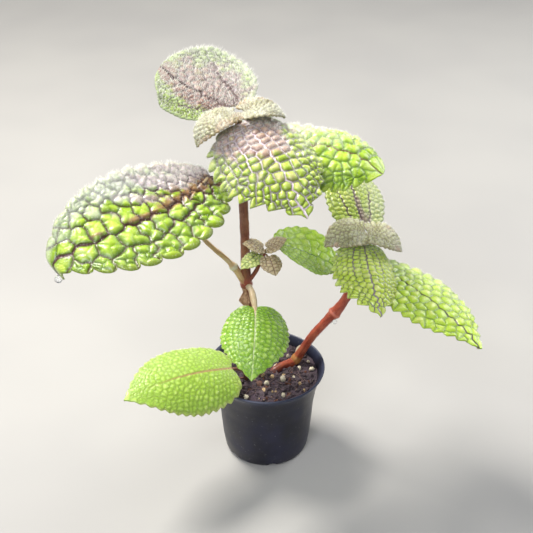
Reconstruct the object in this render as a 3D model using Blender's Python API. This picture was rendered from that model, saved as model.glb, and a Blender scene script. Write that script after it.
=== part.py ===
"""A potted friendship plant: a small black nursery pot of potting mix, with two leafy stems.

Every size is in millimetres and is turned into metres where a mesh is made. +Z is up, the origin
is the centre of the pot's underside, and -Y is the side that faces a viewer.
"""

import math

import bmesh
import bpy
import numpy as np

MM = 0.001
GAP = 0.3  # clearance between pieces that touch

# The pot: radius and height up the outside, from the foot to the top of the lip.
POT_OUTSIDE = [
    (18.6, 0.0), (19.5, 0.5), (19.9, 1.8), (20.8, 8.0), (21.7, 18.0), (22.3, 27.0),
    (23.5, 35.0), (25.0, 41.0), (26.3, 44.3), (27.4, 45.0), (27.5, 46.0), (27.1, 46.5),
]
POT_WALL = 1.0
POT_FLOOR = 1.4
POT_LIP_INSIDE = 26.2
POT_SIDES = 40
NOTCHES = 6  # drainage arches cut through the corner of the foot
NOTCH_RADIUS = 2.3
NOTCH_FIRST_DEG = -82.0

# The potting mix: its top is below the lip and is lumpy.
SOIL_TOP = 41.8
SOIL_LUMP = 0.7
SOIL_RINGS = 6
SOIL_SIDES = 30

# Stems: points along the centre line, then the radius at each.
MAIN_STEM = [
    ((-3.6, -2.5, 27), 1.8), ((-4.2, -2, 40), 2.0), ((-6.3, -0.6, 62), 1.8), ((-8.2, 1, 84), 1.8),
    ((-9.0, 1.5, 91), 2.5), ((-9.2, 1.2, 97), 2.2), ((-9.4, 1, 115), 2.05), ((-9.9, 0.5, 134), 2.0),
    ((-10.5, 0, 155), 1.8), ((-10.9, -0.2, 166), 1.6), ((-11.1, -0.4, 174), 1.1),
]
BRANCH_STEM = [
    ((0.4, -1.6, 37), 1.9), ((3.5, 1, 41.6), 1.9), ((8, 4, 42.8), 1.9), ((12.5, 7, 42.6), 2.1),
    ((15, 8, 45), 2.3), ((17, 8, 49), 2.1), ((21.5, 8, 57.2), 2.1), ((27.5, 8, 65.6), 2.1),
    ((31.5, 8, 70.6), 2.6), ((36.5, 8, 79), 2.1), ((40.5, 8, 91), 2.0), ((42.7, 8, 102), 1.8),
    ((43.6, 8.2, 110.5), 1.2),
]
SIDE_SHOOT = [((-8.6, 1.2, 92.5), 1.1), ((-5.2, 0.2, 98), 0.95), ((-3.0, -1.4, 104), 0.9), ((-0.9, -2.6, 110), 0.7)]
STEM_SIDES = 9
PETIOLE_SIDES = 6
RING_STEP = 5.0  # distance between rings along a stem

# The dry papery stipule on the main stem's node: its corners, and its thickness.
STIPULE = [(-9.4, -2.6, 91.5), (-11.6, -3.6, 85.6), (-8.6, -3.2, 81.6), (-7.4, -2.9, 85.0)]
STIPULE_THICK = 0.6

# Leaves. base is where the blade meets its petiole. heading is the way the midrib points, in degrees
# from +X towards +Y; pitch is its climb at the base, and bend is how far it turns down by the tip, late
# where late is large; sweep turns it sideways; roll lifts the left side; droop curls both sides down.
# widest is where along the blade it is widest, base_round and tip_round shape the ends (less is
# rounder), lobe is how far the base runs back past the petiole. teeth is the number a side.
LEAF_DEFAULTS = dict(late=1.3, widest=0.4, base_round=0.55, tip_round=1.0, lobe=0.18, teeth=10, tooth=0.07, thick=0.8, cells=2)
LEAVES = {
    "leaf_top_back": dict(
        base=(-15.9, 9.6, 174.2), length=35.6, width=53.6, heading=137, pitch=5, bend=-34, sweep=35, roll=-6, droop=-25,
        late=1.5, lobe=0.39, widest=0.55, base_round=0.38, tip_round=0.45, tooth=0.025, relief=1.2, teeth=10,
        petiole=[((-11.0, -0.2, 168), 0.9), ((-12.8, 3.0, 172.6), 0.85)]),
    "leaf_young_left": dict(
        base=(-13.2, -3.8, 178.8), length=24, width=16, heading=214, pitch=14, bend=104, sweep=5, roll=2, droop=22,
        relief=0.5, teeth=6, tooth=0.04, cells=1, petiole=[((-11.3, -0.9, 172.8), 0.55), ((-12.0, -2.2, 176.0), 0.55)]),
    "leaf_young_right": dict(
        base=(-9.2, -2.6, 179.0), length=20, width=17, heading=13, pitch=21, bend=88, sweep=-3, roll=0, droop=8,
        relief=0.5, teeth=6, tooth=0.04, cells=1, petiole=[((-10.8, -0.4, 172.8), 0.55), ((-10.0, -1.3, 176.2), 0.55)]),
    "leaf_top_front": dict(
        base=(-10.2, -4.4, 174), length=54, width=48, heading=-59, pitch=-4, bend=43, sweep=3, roll=10, droop=55,
        relief=1.7, teeth=10, tooth=0.11, petiole=[((-10.8, -0.2, 170.0), 1.1), ((-10.8, -1.9, 171.8), 1.1)]),
    "leaf_top_right": dict(
        base=(-4, 4.4, 161.0), length=55.8, width=41.2, heading=-8, pitch=4, bend=42, sweep=-4, roll=12, droop=42,
        late=2.0, widest=0.5, tip_round=0.62, relief=2.0, teeth=9, tooth=0.08,
        petiole=[((-10.4, 0.1, 154.5), 1.1), ((-7.6, 2.2, 157.6), 1.1)]),
    "leaf_big_left": dict(
        base=(-23.2, -4.7, 150.3), length=92, width=44, heading=250, pitch=4, bend=84, sweep=-46, roll=-25,
        droop=-14, late=8.0, widest=0.52, base_round=0.5, tip_round=0.8, lobe=0.14, relief=2.2, teeth=11, tooth=0.09,
        petiole=[((-9.0, 1.0, 91.5), 1.9), ((-14.4, 0, 101.4), 1.6), ((-16.2, -0.3, 104), 1.2),
                 ((-26.7, -2, 116.7), 1.0), ((-32, -3, 127), 0.95), ((-30.5, -3.4, 142), 0.95)]),
    "leaf_side_shoot": dict(
        base=(4.1, 1.2, 113.2), length=32, width=33, heading=11, pitch=-22, bend=5, sweep=-26, roll=2, droop=-17,
        late=1.0, widest=0.51, tip_round=0.92, relief=1.0, teeth=9, tooth=0.03,
        petiole=[((0.1, -1.4, 110.4), 0.6), ((1.7, -0.2, 112), 0.6)]),
    "leaf_bud_left": dict(
        base=(-3.3, -4.3, 110.9), length=9.5, width=7, heading=214, pitch=-10, bend=35, sweep=0, roll=0, droop=20,
        relief=0.4, teeth=4, tooth=0.05, cells=1, petiole=[((-1.6, -3.4, 110.9), 0.4)]),
    "leaf_bud_back": dict(
        base=(-1.4, -2.6, 113.2), length=7, width=8, heading=186, pitch=30, bend=35, sweep=0, roll=0, droop=10,
        relief=0.4, teeth=4, tooth=0.04, cells=1, petiole=[((-0.9, -3.0, 111.7), 0.4)]),
    "leaf_bud_right": dict(
        base=(0.2, -4.6, 114.4), length=7.5, width=8, heading=8, pitch=32, bend=20, sweep=0, roll=0, droop=10,
        relief=0.4, teeth=4, tooth=0.04, cells=1, petiole=[((-0.5, -3.9, 111.6), 0.4), ((-0.3, -4.5, 113.3), 0.4)]),
    "leaf_bud_front": dict(
        base=(0.8, -6.4, 111.0), length=8.5, width=7, heading=-66, pitch=-15, bend=40, sweep=0, roll=0, droop=20,
        relief=0.4, teeth=4, tooth=0.04, cells=1, petiole=[((0.0, -4.8, 110.9), 0.4)]),
    "leaf_right_back": dict(
        base=(43, 12.4, 114.5), length=38, width=27, heading=107, pitch=40, bend=55, sweep=-12, roll=5, droop=10,
        relief=1.0, teeth=9, tooth=0.05, petiole=[((43.4, 8.2, 108.5), 0.8), ((43.3, 10.2, 111.6), 0.8)]),
    "leaf_right_young_left": dict(
        base=(41.2, 5.2, 116.8), length=20.5, width=18, heading=196, pitch=18, bend=78, sweep=1, roll=-9, droop=10,
        relief=0.5, teeth=6, tooth=0.04, cells=1, petiole=[((43.0, 8.1, 109.5), 0.5), ((42.4, 6.8, 114.2), 0.45)]),
    "leaf_right_young_right": dict(
        base=(46.1, 5.4, 116.3), length=20, width=19, heading=-6, pitch=4, bend=84, sweep=1, roll=0, droop=10,
        relief=0.5, teeth=6, tooth=0.04, cells=1, petiole=[((44.2, 8.1, 109.5), 0.5), ((45.1, 7.0, 114.0), 0.45)]),
    "leaf_right_front": dict(
        base=(43, 4.2, 110.4), length=42, width=32, heading=-92, pitch=3, bend=44, sweep=20, roll=-8, droop=58,
        relief=1.1, teeth=10, tooth=0.10, petiole=[((43.2, 8.0, 106.5), 0.9), ((43.2, 6.0, 108.8), 0.9)]),
    "leaf_right_low": dict(
        base=(49, 4.4, 99), length=62, width=39, heading=-39, pitch=-6, bend=15, sweep=-14, roll=-10, droop=12,
        relief=1.5, teeth=11, tooth=0.07, petiole=[((42.0, 7.9, 96), 1.1), ((45.0, 6.9, 97.3), 1.1)]),
    "leaf_low_front": dict(
        base=(-5, -12.4, 88.2), length=42, width=33, heading=-88, pitch=6, bend=44, sweep=-8, roll=0, droop=48,
        relief=1.0, teeth=11, tooth=0.035, petiole=[((-8.8, 1.0, 91), 1.4), ((-7.2, -2.6, 91.6), 1.3), ((-6.0, -7.5, 90.4), 1.5)]),
    "leaf_low_left": dict(
        base=(-15.6, -14.8, 56), length=55.6, width=38, heading=214, pitch=20, bend=31, sweep=-2, roll=-24, droop=44,
        relief=1.0, teeth=11, tooth=0.05,
        petiole=[((-9.4, -4, 37.5), 1.0), ((-9.4, -4.8, 43), 1.0), ((-11.4, -9, 50.6), 0.9)]),
}
STEM_OF = {
    "leaf_top_back": "main_stem", "leaf_young_left": "main_stem", "leaf_young_right": "main_stem",
    "leaf_top_front": "main_stem", "leaf_top_right": "main_stem", "leaf_big_left": "main_stem",
    "leaf_low_front": "main_stem", "leaf_right_back": "branch_stem", "leaf_right_young_left": "branch_stem",
    "leaf_right_young_right": "branch_stem", "leaf_right_front": "branch_stem", "leaf_right_low": "branch_stem",
}
MIDRIB_UNDER = 0.55  # how far below the blade's middle the midrib's rod runs
MIDRIB_TIP_RADIUS = 0.4
MIDRIB_REACH = 0.3  # share of the blade that the rod runs under
ACROSS = {1: (-1, -0.55, 0, 0.55, 1), 2: (-1, -0.76, -0.5, -0.25, 0, 0.25, 0.5, 0.76, 1)}  # by cells a side

COLOURS = {
    "leaf": (0.22, 0.42, 0.04), "bronze": (0.25, 0.16, 0.07), "pale": (0.35, 0.45, 0.18),
    "stem": (0.22, 0.07, 0.035), "branch": (0.30, 0.05, 0.03), "pot": (0.012, 0.012, 0.016),
    "soil": (0.03, 0.018, 0.015), "dry": (0.45, 0.25, 0.12),
}
BRONZE_LEAVES = ("leaf_top_back", "leaf_top_front", "leaf_bud_back", "leaf_bud_front", "leaf_bud_right")
PALE_LEAVES = ("leaf_young_left", "leaf_young_right", "leaf_right_young_left", "leaf_right_young_right")


def clear_scene():
    for old in list(bpy.data.objects):
        bpy.data.objects.remove(old)


def material(name, roughness):
    """The named colour as a Principled material."""
    made = bpy.data.materials.get(name) or bpy.data.materials.new(name)
    made.use_nodes = True
    shader = made.node_tree.nodes["Principled BSDF"]
    shader.inputs["Base Color"].default_value = (*COLOURS[name], 1)
    shader.inputs["Roughness"].default_value = roughness
    shader.inputs["Metallic"].default_value = 0.0
    return made


def mesh_object(name, points, faces, colour, roughness=0.6, helper=False):
    """An object from points in millimetres. Its faces are split into triangles as they are listed."""
    mesh = bpy.data.meshes.new(name)
    mesh.from_pydata([tuple(float(c) * MM for c in p) for p in points], [], faces)
    made = bpy.data.objects.new(name, mesh)
    bpy.context.scene.collection.objects.link(made)
    mesh.materials.append(material(colour, roughness))
    mesh.shade_smooth()
    mesh.set_sharp_from_angle(angle=math.radians(40))
    if helper:
        made.hide_render = True
        made.display_type = "WIRE"
    return made


def boolean(target, other, operation):
    step = target.modifiers.new(f"{operation.lower()} {other.name}", "BOOLEAN")
    step.operation = operation
    step.object = other
    step.solver = "EXACT"


def smooth_path(stations, step):
    """Points and radii along a Catmull-Rom curve through the stations, about step apart."""
    points = np.array([p for p, _ in stations], float)
    radii = np.array([r for _, r in stations], float)
    before = 2 * points[0] - points[1]
    after = 2 * points[-1] - points[-2]
    padded = np.vstack([before, points, after])
    path, thick = [], []
    for i in range(len(points) - 1):
        p0, p1, p2, p3 = padded[i:i + 4]
        count = max(2, round(np.linalg.norm(p2 - p1) / step))
        for t in np.arange(count) / count:
            bend = (2 * p0 - 5 * p1 + 4 * p2 - p3) * t**2 + (3 * p1 - p0 - 3 * p2 + p3) * t**3
            path.append(0.5 * (2 * p1 + (p2 - p0) * t + bend))
            ease = t * t * (3 - 2 * t)
            thick.append(radii[i] * (1 - ease) + radii[i + 1] * ease)
    return np.vstack([path, points[-1:]]), np.append(thick, radii[-1])


def tube(name, stations, sides, colour, step=RING_STEP, grow=0.0, helper=False):
    """A round rod through the stations, closed at both ends. grow makes it that much thicker."""
    path, radii = smooth_path(stations, step)
    along = np.gradient(path, axis=0)
    along /= np.linalg.norm(along, axis=1)[:, None]
    side = np.cross(along[0], (0.3, 1.0, 0.2))
    points, faces = [], []
    for centre, direction, radius in zip(path, along, radii):
        side = side - direction * side.dot(direction)
        side /= np.linalg.norm(side)
        other = np.cross(direction, side)
        for k in range(sides):
            angle = 2 * math.pi * k / sides
            points.append(centre + (radius + grow) * (math.cos(angle) * side + math.sin(angle) * other))
    rings = len(path)
    for i in range(rings - 1):
        for k in range(sides):
            a, b = i * sides + k, i * sides + (k + 1) % sides
            faces += [(a, b, b + sides), (a, b + sides, a + sides)]
    faces.append(tuple(range(sides - 1, -1, -1)))
    faces.append(tuple(range((rings - 1) * sides, rings * sides)))
    return mesh_object(name, points, faces, colour, 0.5, helper)


def width_share(leaf, t):
    """The blade's half width at t along it, as a share of the widest."""
    power = math.log(0.5) / math.log(leaf["widest"])
    roundness = leaf["base_round"] + (leaf["tip_round"] - leaf["base_round"]) * t
    return np.clip(np.sin(np.pi * t**power), 0, 1) ** roundness


def midrib_frames(leaf, count=81):
    """Shares along the midrib, from a little behind the base to the tip, with its points and axes."""
    share = np.linspace(-0.3, 1, count)
    t = np.clip(share, 0, 1)
    turn = np.radians(leaf["heading"] + leaf["sweep"] * t)
    climb = np.radians(leaf["pitch"] - leaf["bend"] * t ** leaf["late"])
    ahead = np.stack([np.cos(turn) * np.cos(climb), np.sin(turn) * np.cos(climb), np.sin(climb)], -1)
    steps = (ahead[1:] + ahead[:-1]) / 2 * (share[1] - share[0]) * leaf["length"]
    line = np.vstack([np.zeros(3), np.cumsum(steps, 0)])
    line += np.array(leaf["base"]) - at_share(share, line, 0.0)
    level = np.stack([-np.sin(turn), np.cos(turn), np.zeros_like(turn)], -1)
    up = np.cross(ahead, level)
    roll = math.radians(leaf["roll"])
    left = level * math.cos(roll) + up * math.sin(roll)
    return share, line, left, np.cross(ahead, left)


def at_share(share, rows, wanted):
    return np.stack([np.interp(wanted, share, rows[:, k]) for k in range(3)], -1)


def blade_point(leaf, frames, t, q):
    """The blade's smooth middle surface at t along and q across (-1 to 1), and its normal there."""
    share, line, left, up = frames
    half = leaf["width"] / 2
    across = half * width_share(leaf, t) * q
    back = leaf["lobe"] * (1 - t) ** 3 * np.abs(q) ** 1.5 * width_share(leaf, t)
    centre, side, normal = (at_share(share, rows, t - back) for rows in (line, left, up))
    curl = math.radians(leaf["droop"] or 0.01) / half
    sideways, down = np.sin(curl * across) / curl, (1 - np.cos(curl * across)) / curl
    turned = normal * np.cos(curl * across)[..., None] + side * np.sin(curl * across)[..., None]
    return centre + side * sideways[..., None] - normal * down[..., None], turned


def blade(name, leaf, colour):
    """A toothed blade whose cells stand up between its sunken veins, as one closed solid."""
    frames = midrib_frames(leaf)
    across = ACROSS[leaf["cells"]]
    rows = 2 * leaf["teeth"]
    top, under = [], []
    for k in range(1, rows):
        t, peak = k / rows, k % 2 == 1
        fade = min(1.0, 2.5 * (1 - t), 0.35 + 3 * t)
        for j, q in enumerate(across):
            edge = abs(q) == 1
            reach = q * (1 + leaf["tooth"] * (1 if peak else -1) * fade) if edge else q
            ahead = t + (0.2 / rows if edge and peak else 0.0)
            point, normal = blade_point(leaf, frames, np.array(ahead), np.array(reach))
            lift = leaf["relief"] * fade if peak and j % 2 == 1 else 0.0
            top.append(point + normal * (lift + leaf["thick"] / 2))
            under.append(point + normal * (lift - leaf["thick"] / 2))
    for t in (0.0, 1.0):
        point, normal = blade_point(leaf, frames, np.array(t), np.array(0.0))
        top.append(point + normal * leaf["thick"] / 2)
        under.append(point - normal * leaf["thick"] / 2)
    columns, lines = len(across), rows - 1
    base_point, tip_point, total = columns * lines, columns * lines + 1, columns * lines + 2
    faces = []
    for i in range(lines - 1):
        for j in range(columns - 1):
            a, b = i * columns + j, i * columns + j + 1
            c, d = a + columns, b + columns
            # The diagonal runs to the raised corner, so that each cell is a pyramid.
            faces += [(a, c, d), (a, d, b)] if (i + j) % 2 else [(a, c, b), (b, c, d)]
    last = (lines - 1) * columns
    for j in range(columns - 1):
        faces.append((base_point, j, j + 1))
        faces.append((tip_point, last + j + 1, last + j))
    rim = [base_point] + [i * columns for i in range(lines)] + [tip_point]
    rim += [i * columns + columns - 1 for i in range(lines - 1, -1, -1)]
    closed = [(c, b, a) for a, b, c in faces]
    closed += [(a + total, b + total, c + total) for a, b, c in faces]
    for a, b in zip(rim, rim[1:] + rim[:1]):
        closed += [(a, b, b + total), (a, b + total, a + total)]
    made = mesh_object(name, top + under, closed, colour, 0.55)
    made.data.shade_flat()
    return made


def leaf_piece(name):
    """A blade with its petiole, which runs on under the blade as the midrib's rod."""
    leaf = {**LEAF_DEFAULTS, **LEAVES[name]}
    colour = "bronze" if name in BRONZE_LEAVES else "pale" if name in PALE_LEAVES else "leaf"
    made = blade(name, leaf, colour)
    frames = midrib_frames(leaf)
    stalk = list(leaf["petiole"])
    start_radius = stalk[-1][1]
    for t in np.linspace(0.03, MIDRIB_REACH, 3):
        point, normal = blade_point(leaf, frames, np.array(t), np.array(0.0))
        share = t / MIDRIB_REACH
        radius = start_radius * 0.85 * (1 - share) + min(MIDRIB_TIP_RADIUS, start_radius * 0.7) * share
        stalk.append((tuple(point - normal * MIDRIB_UNDER), radius))
    rod = tube(f"{name}_petiole", stalk, PETIOLE_SIDES, colour, helper=True)
    boolean(made, rod, "UNION")
    return made


def turned(name, profile, sides, colour, roughness):
    """A solid of revolution about Z, from a closed outline of radius and height listed anticlockwise."""
    points, faces = [], []
    rings = []
    for radius, height in profile:
        if radius == 0:
            rings.append([len(points)] * sides)
            points.append((0, 0, height))
            continue
        rings.append(list(range(len(points), len(points) + sides)))
        for k in range(sides):
            angle = 2 * math.pi * k / sides
            points.append((radius * math.cos(angle), radius * math.sin(angle), height))
    for lower, upper in zip(rings, rings[1:]):
        for k in range(sides):
            n = (k + 1) % sides
            corners = dict.fromkeys((lower[k], lower[n], upper[n], upper[k]))
            if len(corners) > 2:
                faces.append(tuple(corners))
    return mesh_object(name, points, faces, colour, roughness)


def pot_inside():
    """The inner face's radius and height, from the lip down to the floor."""
    inner = [(POT_LIP_INSIDE, 46.4), (POT_LIP_INSIDE - 0.4, 45.2)]
    inner += [(r - POT_WALL, z) for r, z in reversed(POT_OUTSIDE[3:9])]
    inner.append((POT_OUTSIDE[2][0] - POT_WALL, POT_FLOOR))
    return inner


def build_pot():
    profile = [(0, 0.0)] + POT_OUTSIDE + pot_inside() + [(0, POT_FLOOR)]
    pot = turned("pot", profile, POT_SIDES, "pot", 0.4)
    for k in range(NOTCHES):
        angle = math.radians(NOTCH_FIRST_DEG + 360 * k / NOTCHES)
        out = np.array([math.cos(angle), math.sin(angle), 0])
        low, high = out * 16.6, out * 24
        cutter = tube(f"notch_{k}", [(low, NOTCH_RADIUS), (high, NOTCH_RADIUS)], 10, "pot", helper=True)
        boolean(pot, cutter, "DIFFERENCE")
    return pot


def soil_height(radius, angle):
    """The lumpy top of the mix, from a few waves across it, a little lower at the wall."""
    x, y = radius * math.cos(angle), radius * math.sin(angle)
    lumps = math.sin(0.55 * x + 1.3) * math.cos(0.62 * y) + 0.6 * math.sin(0.9 * y + 0.5 * x + 0.4)
    return SOIL_TOP + SOIL_LUMP * 0.6 * lumps - 0.5 * (radius / 24) ** 2


def build_soil(stems):
    outline = [(0, POT_FLOOR + GAP)]
    wall = [(r - GAP, z) for r, z in reversed(pot_inside()) if z < SOIL_TOP - 3]
    outline += [(wall[0][0], POT_FLOOR + GAP)] + wall[1:]
    soil = turned("soil", outline + [(23.2, 39.5), (0, 39.5)], SOIL_SIDES, "soil", 0.95)
    bm = bmesh.new()
    bm.from_mesh(soil.data)
    bm.verts.ensure_lookup_table()
    top = [v for v in bm.verts if v.co.z > 39.4 * MM]
    bmesh.ops.delete(bm, geom=[v for v in top if v.co.xy.length < MM], context="VERTS")
    edges = [e for e in bm.edges if e.is_boundary]
    radius = 23.6
    for ring in range(SOIL_RINGS):
        grown = bmesh.ops.extrude_edge_only(bm, edges=edges)["geom"]
        edges = [g for g in grown if isinstance(g, bmesh.types.BMEdge)]
        for v in (g for g in grown if isinstance(g, bmesh.types.BMVert)):
            angle = math.atan2(v.co.y, v.co.x)
            v.co = (radius * math.cos(angle) * MM, radius * math.sin(angle) * MM, soil_height(radius, angle) * MM)
        radius *= 0.7
    bmesh.ops.contextual_create(bm, geom=edges)
    bmesh.ops.triangulate(bm, faces=[f for f in bm.faces if len(f.verts) > 4])
    bmesh.ops.recalc_face_normals(bm, faces=bm.faces)
    bm.to_mesh(soil.data)
    bm.free()
    for stem in stems:
        boolean(soil, stem, "DIFFERENCE")
    return soil


def build_stipule():
    """A small dry papery flap, folded along its middle."""
    corners = np.array(STIPULE, float)
    normal = np.cross(corners[1] - corners[0], corners[2] - corners[0])
    normal *= STIPULE_THICK / 2 / np.linalg.norm(normal)
    points = list(corners + normal) + list(corners - normal)
    faces = [(0, 1, 2), (0, 2, 3), (6, 5, 4), (7, 6, 4)]
    for a, b in ((0, 1), (1, 2), (2, 3), (3, 0)):
        faces += [(a, a + 4, b + 4), (a, b + 4, b)]
    return mesh_object("dry_stipule", points, faces, "dry", 0.8)


def main():
    clear_scene()
    tube("main_stem", MAIN_STEM, STEM_SIDES, "stem")
    tube("branch_stem", BRANCH_STEM, STEM_SIDES, "branch")
    tube("side_shoot_stem", SIDE_SHOOT, PETIOLE_SIDES, "stem")
    build_pot()
    fat = {
        "main_stem": tube("main_stem_space", MAIN_STEM, STEM_SIDES, "stem", grow=GAP, helper=True),
        "branch_stem": tube("branch_stem_space", BRANCH_STEM, STEM_SIDES, "branch", grow=GAP, helper=True),
    }
    low_petiole = LEAVES["leaf_low_left"]["petiole"] + [(LEAVES["leaf_low_left"]["base"], 0.9)]
    space = tube("low_petiole_space", low_petiole, PETIOLE_SIDES, "leaf", grow=GAP + 0.1, helper=True)
    build_soil([*fat.values(), space])
    build_stipule()
    boolean(bpy.data.objects["branch_stem"], fat["main_stem"], "DIFFERENCE")
    boolean(bpy.data.objects["side_shoot_stem"], fat["main_stem"], "DIFFERENCE")
    for name in LEAVES:
        made = leaf_piece(name)
        if name in STEM_OF:
            boolean(made, fat[STEM_OF[name]], "DIFFERENCE")


main()
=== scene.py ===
"""Dresses the potted friendship plant: quilted, hairy leaves, stems, pot, potting mix and water drops.

Sizes are in millimetres and are turned into metres where a mesh is made. A leaf's surface is worked out by
the same formula as its solid's, so it lies where the solid lies, apart from the small leaves that the comment
at LEAVES names.
"""

import math

import bmesh
import bpy
import numpy as np
from mathutils import Euler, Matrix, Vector


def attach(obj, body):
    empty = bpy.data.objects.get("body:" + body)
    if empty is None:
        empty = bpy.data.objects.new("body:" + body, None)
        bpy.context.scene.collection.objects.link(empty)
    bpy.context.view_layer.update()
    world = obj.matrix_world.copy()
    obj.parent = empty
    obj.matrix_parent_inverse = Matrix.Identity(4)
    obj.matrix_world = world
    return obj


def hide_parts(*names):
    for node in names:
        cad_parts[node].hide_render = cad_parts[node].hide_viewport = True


MM = 0.001
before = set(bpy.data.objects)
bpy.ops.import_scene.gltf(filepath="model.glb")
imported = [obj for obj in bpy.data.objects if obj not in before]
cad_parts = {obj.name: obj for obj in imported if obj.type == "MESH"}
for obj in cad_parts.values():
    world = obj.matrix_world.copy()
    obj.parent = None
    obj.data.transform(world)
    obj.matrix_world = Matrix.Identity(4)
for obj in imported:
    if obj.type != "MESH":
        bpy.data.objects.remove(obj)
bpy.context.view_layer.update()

# The camera, as the photograph was taken.
CAMERA_AT = (0.0, -0.425, 0.384)
CAMERA_DOWN_DEG = 33.6
CAMERA_FOV_DEG = 26.0
# Half the photograph's width and height, in its pixels.
HALF_FRAME_PX = 266.5
LIGHTS_AIM = (0, 0, 0.09)
FLOOR_HALF = 1.5


def linear(hex_colour):
    """A Blender colour from an sRGB one such as 8fb040."""
    parts = [int(hex_colour[i:i + 2], 16) / 255 for i in (0, 2, 4)]
    return tuple(c / 12.92 if c <= 0.04045 else ((c + 0.055) / 1.055) ** 2.4 for c in parts) + (1.0,)


def smooth(x, low=0.0, high=1.0):
    """0 below low, 1 above high, and eased between them."""
    x = np.clip((x - low) / (high - low), 0, 1)
    return x * x * (3 - 2 * x)


def wobble(rng, x, y, size, waves=6):
    """A smooth random field over x and y, about -1 to 1, whose bumps are about size across."""
    total = 0
    for _ in range(waves):
        turn, phase = rng.uniform(0, 2 * math.pi, 2)
        pitch = 2 * math.pi / size * rng.uniform(0.6, 1.4)
        total = total + np.sin(pitch * (x * math.cos(turn) + y * math.sin(turn)) + phase)
    return total / math.sqrt(waves * 2)


def mesh_piece(name, points, faces, material, values, slot, stands_for, smooth_shade=True):
    """A piece from points in millimetres, with its own numbers at each point for the material to read."""
    mesh = bpy.data.meshes.new(name)
    points = np.asarray(points, np.float64) * MM
    faces = np.asarray(faces, np.int32)
    mesh.vertices.add(len(points))
    mesh.vertices.foreach_set("co", points.astype(np.float32).ravel())
    corners = np.full(len(faces), faces.shape[1])
    if faces.shape[1] == 4:
        # A quad whose last two corners are one point is a triangle.
        corners[faces[:, 2] == faces[:, 3]] = 3
    kept = np.arange(faces.shape[1])[None] < corners[:, None]
    mesh.loops.add(int(corners.sum()))
    mesh.loops.foreach_set("vertex_index", faces[kept])
    mesh.polygons.add(len(faces))
    mesh.polygons.foreach_set("loop_start", (np.cumsum(corners) - corners).astype(np.int32))
    mesh.polygons.foreach_set("use_smooth", np.full(len(faces), smooth_shade))
    mesh.update(calc_edges=True)
    mesh.validate()
    for key, numbers in (values or {}).items():
        layer = mesh.attributes.new(key, "FLOAT", "POINT")
        layer.data.foreach_set("value", np.asarray(numbers, np.float32).ravel())
    made = bpy.data.objects.new(name, mesh)
    bpy.context.scene.collection.objects.link(made)
    mesh.materials.append(material)
    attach(made, "root")
    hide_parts(*stands_for)
    return made


def ring_faces(rings, sides):
    """The faces between closed rings of points, ring after ring."""
    i, j = np.meshgrid(np.arange(rings - 1), np.arange(sides), indexing="ij")
    a, b = (i * sides + j).ravel(), (i * sides + (j + 1) % sides).ravel()
    return np.stack([a, b, b + sides, a + sides], -1)


def sheet_faces(rows, columns):
    """The faces of a thin sheet with a rim, whose first half of points is one side and last the other."""
    count = rows * columns
    i, j = np.meshgrid(np.arange(rows - 1), np.arange(columns - 1), indexing="ij")
    a = (i * columns + j).ravel()
    quads = np.stack([a, a + columns, a + columns + 1, a + 1], -1)
    rim = np.concatenate([np.arange(columns), np.arange(1, rows) * columns + columns - 1,
                          (rows - 1) * columns + np.arange(columns - 2, -1, -1),
                          np.arange(rows - 2, -1, -1) * columns])
    strip = np.stack([rim[:-1], rim[1:], rim[1:] + count, rim[:-1] + count], -1)
    return np.concatenate([quads, quads[:, ::-1] + count, strip])


def ball(subdivisions):
    """The points and faces of a ball with a radius of 1 about the origin."""
    made = bmesh.new()
    bmesh.ops.create_icosphere(made, subdivisions=subdivisions, radius=1.0)
    points = np.array([v.co[:] for v in made.verts])
    faces = np.array([[v.index for v in f.verts] for f in made.faces])
    made.free()
    return points, faces


# Leaf shapes

LEAF_DEFAULTS = dict(late=1.3, widest=0.4, base_round=0.55, tip_round=1.0, lobe=0.18, thick=0.6, sweep=0,
                     roll=0, band=0.42, stagger=0.35, open=0.85, rake=0.55, jitter=0.22, lobes=1,
                     side_nerve=0.8, straight=False, fading=0.0, far_tooth=1.0, far_relief=0.62)
YOUNG = dict(base_round=0.36, lobe=0.3, columns=(3, 3), tooth=0.05, relief=0.85, look="young", grain=0.6,
             jitter=0.3)
SILVER = dict(YOUNG, base_round=0.34, lobe=0.34, look="silver", rows=11)
BUD = dict(base_round=0.35, band=0.45, tooth=0.04, relief=0.35, look="bud", grain=0.6)

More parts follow.
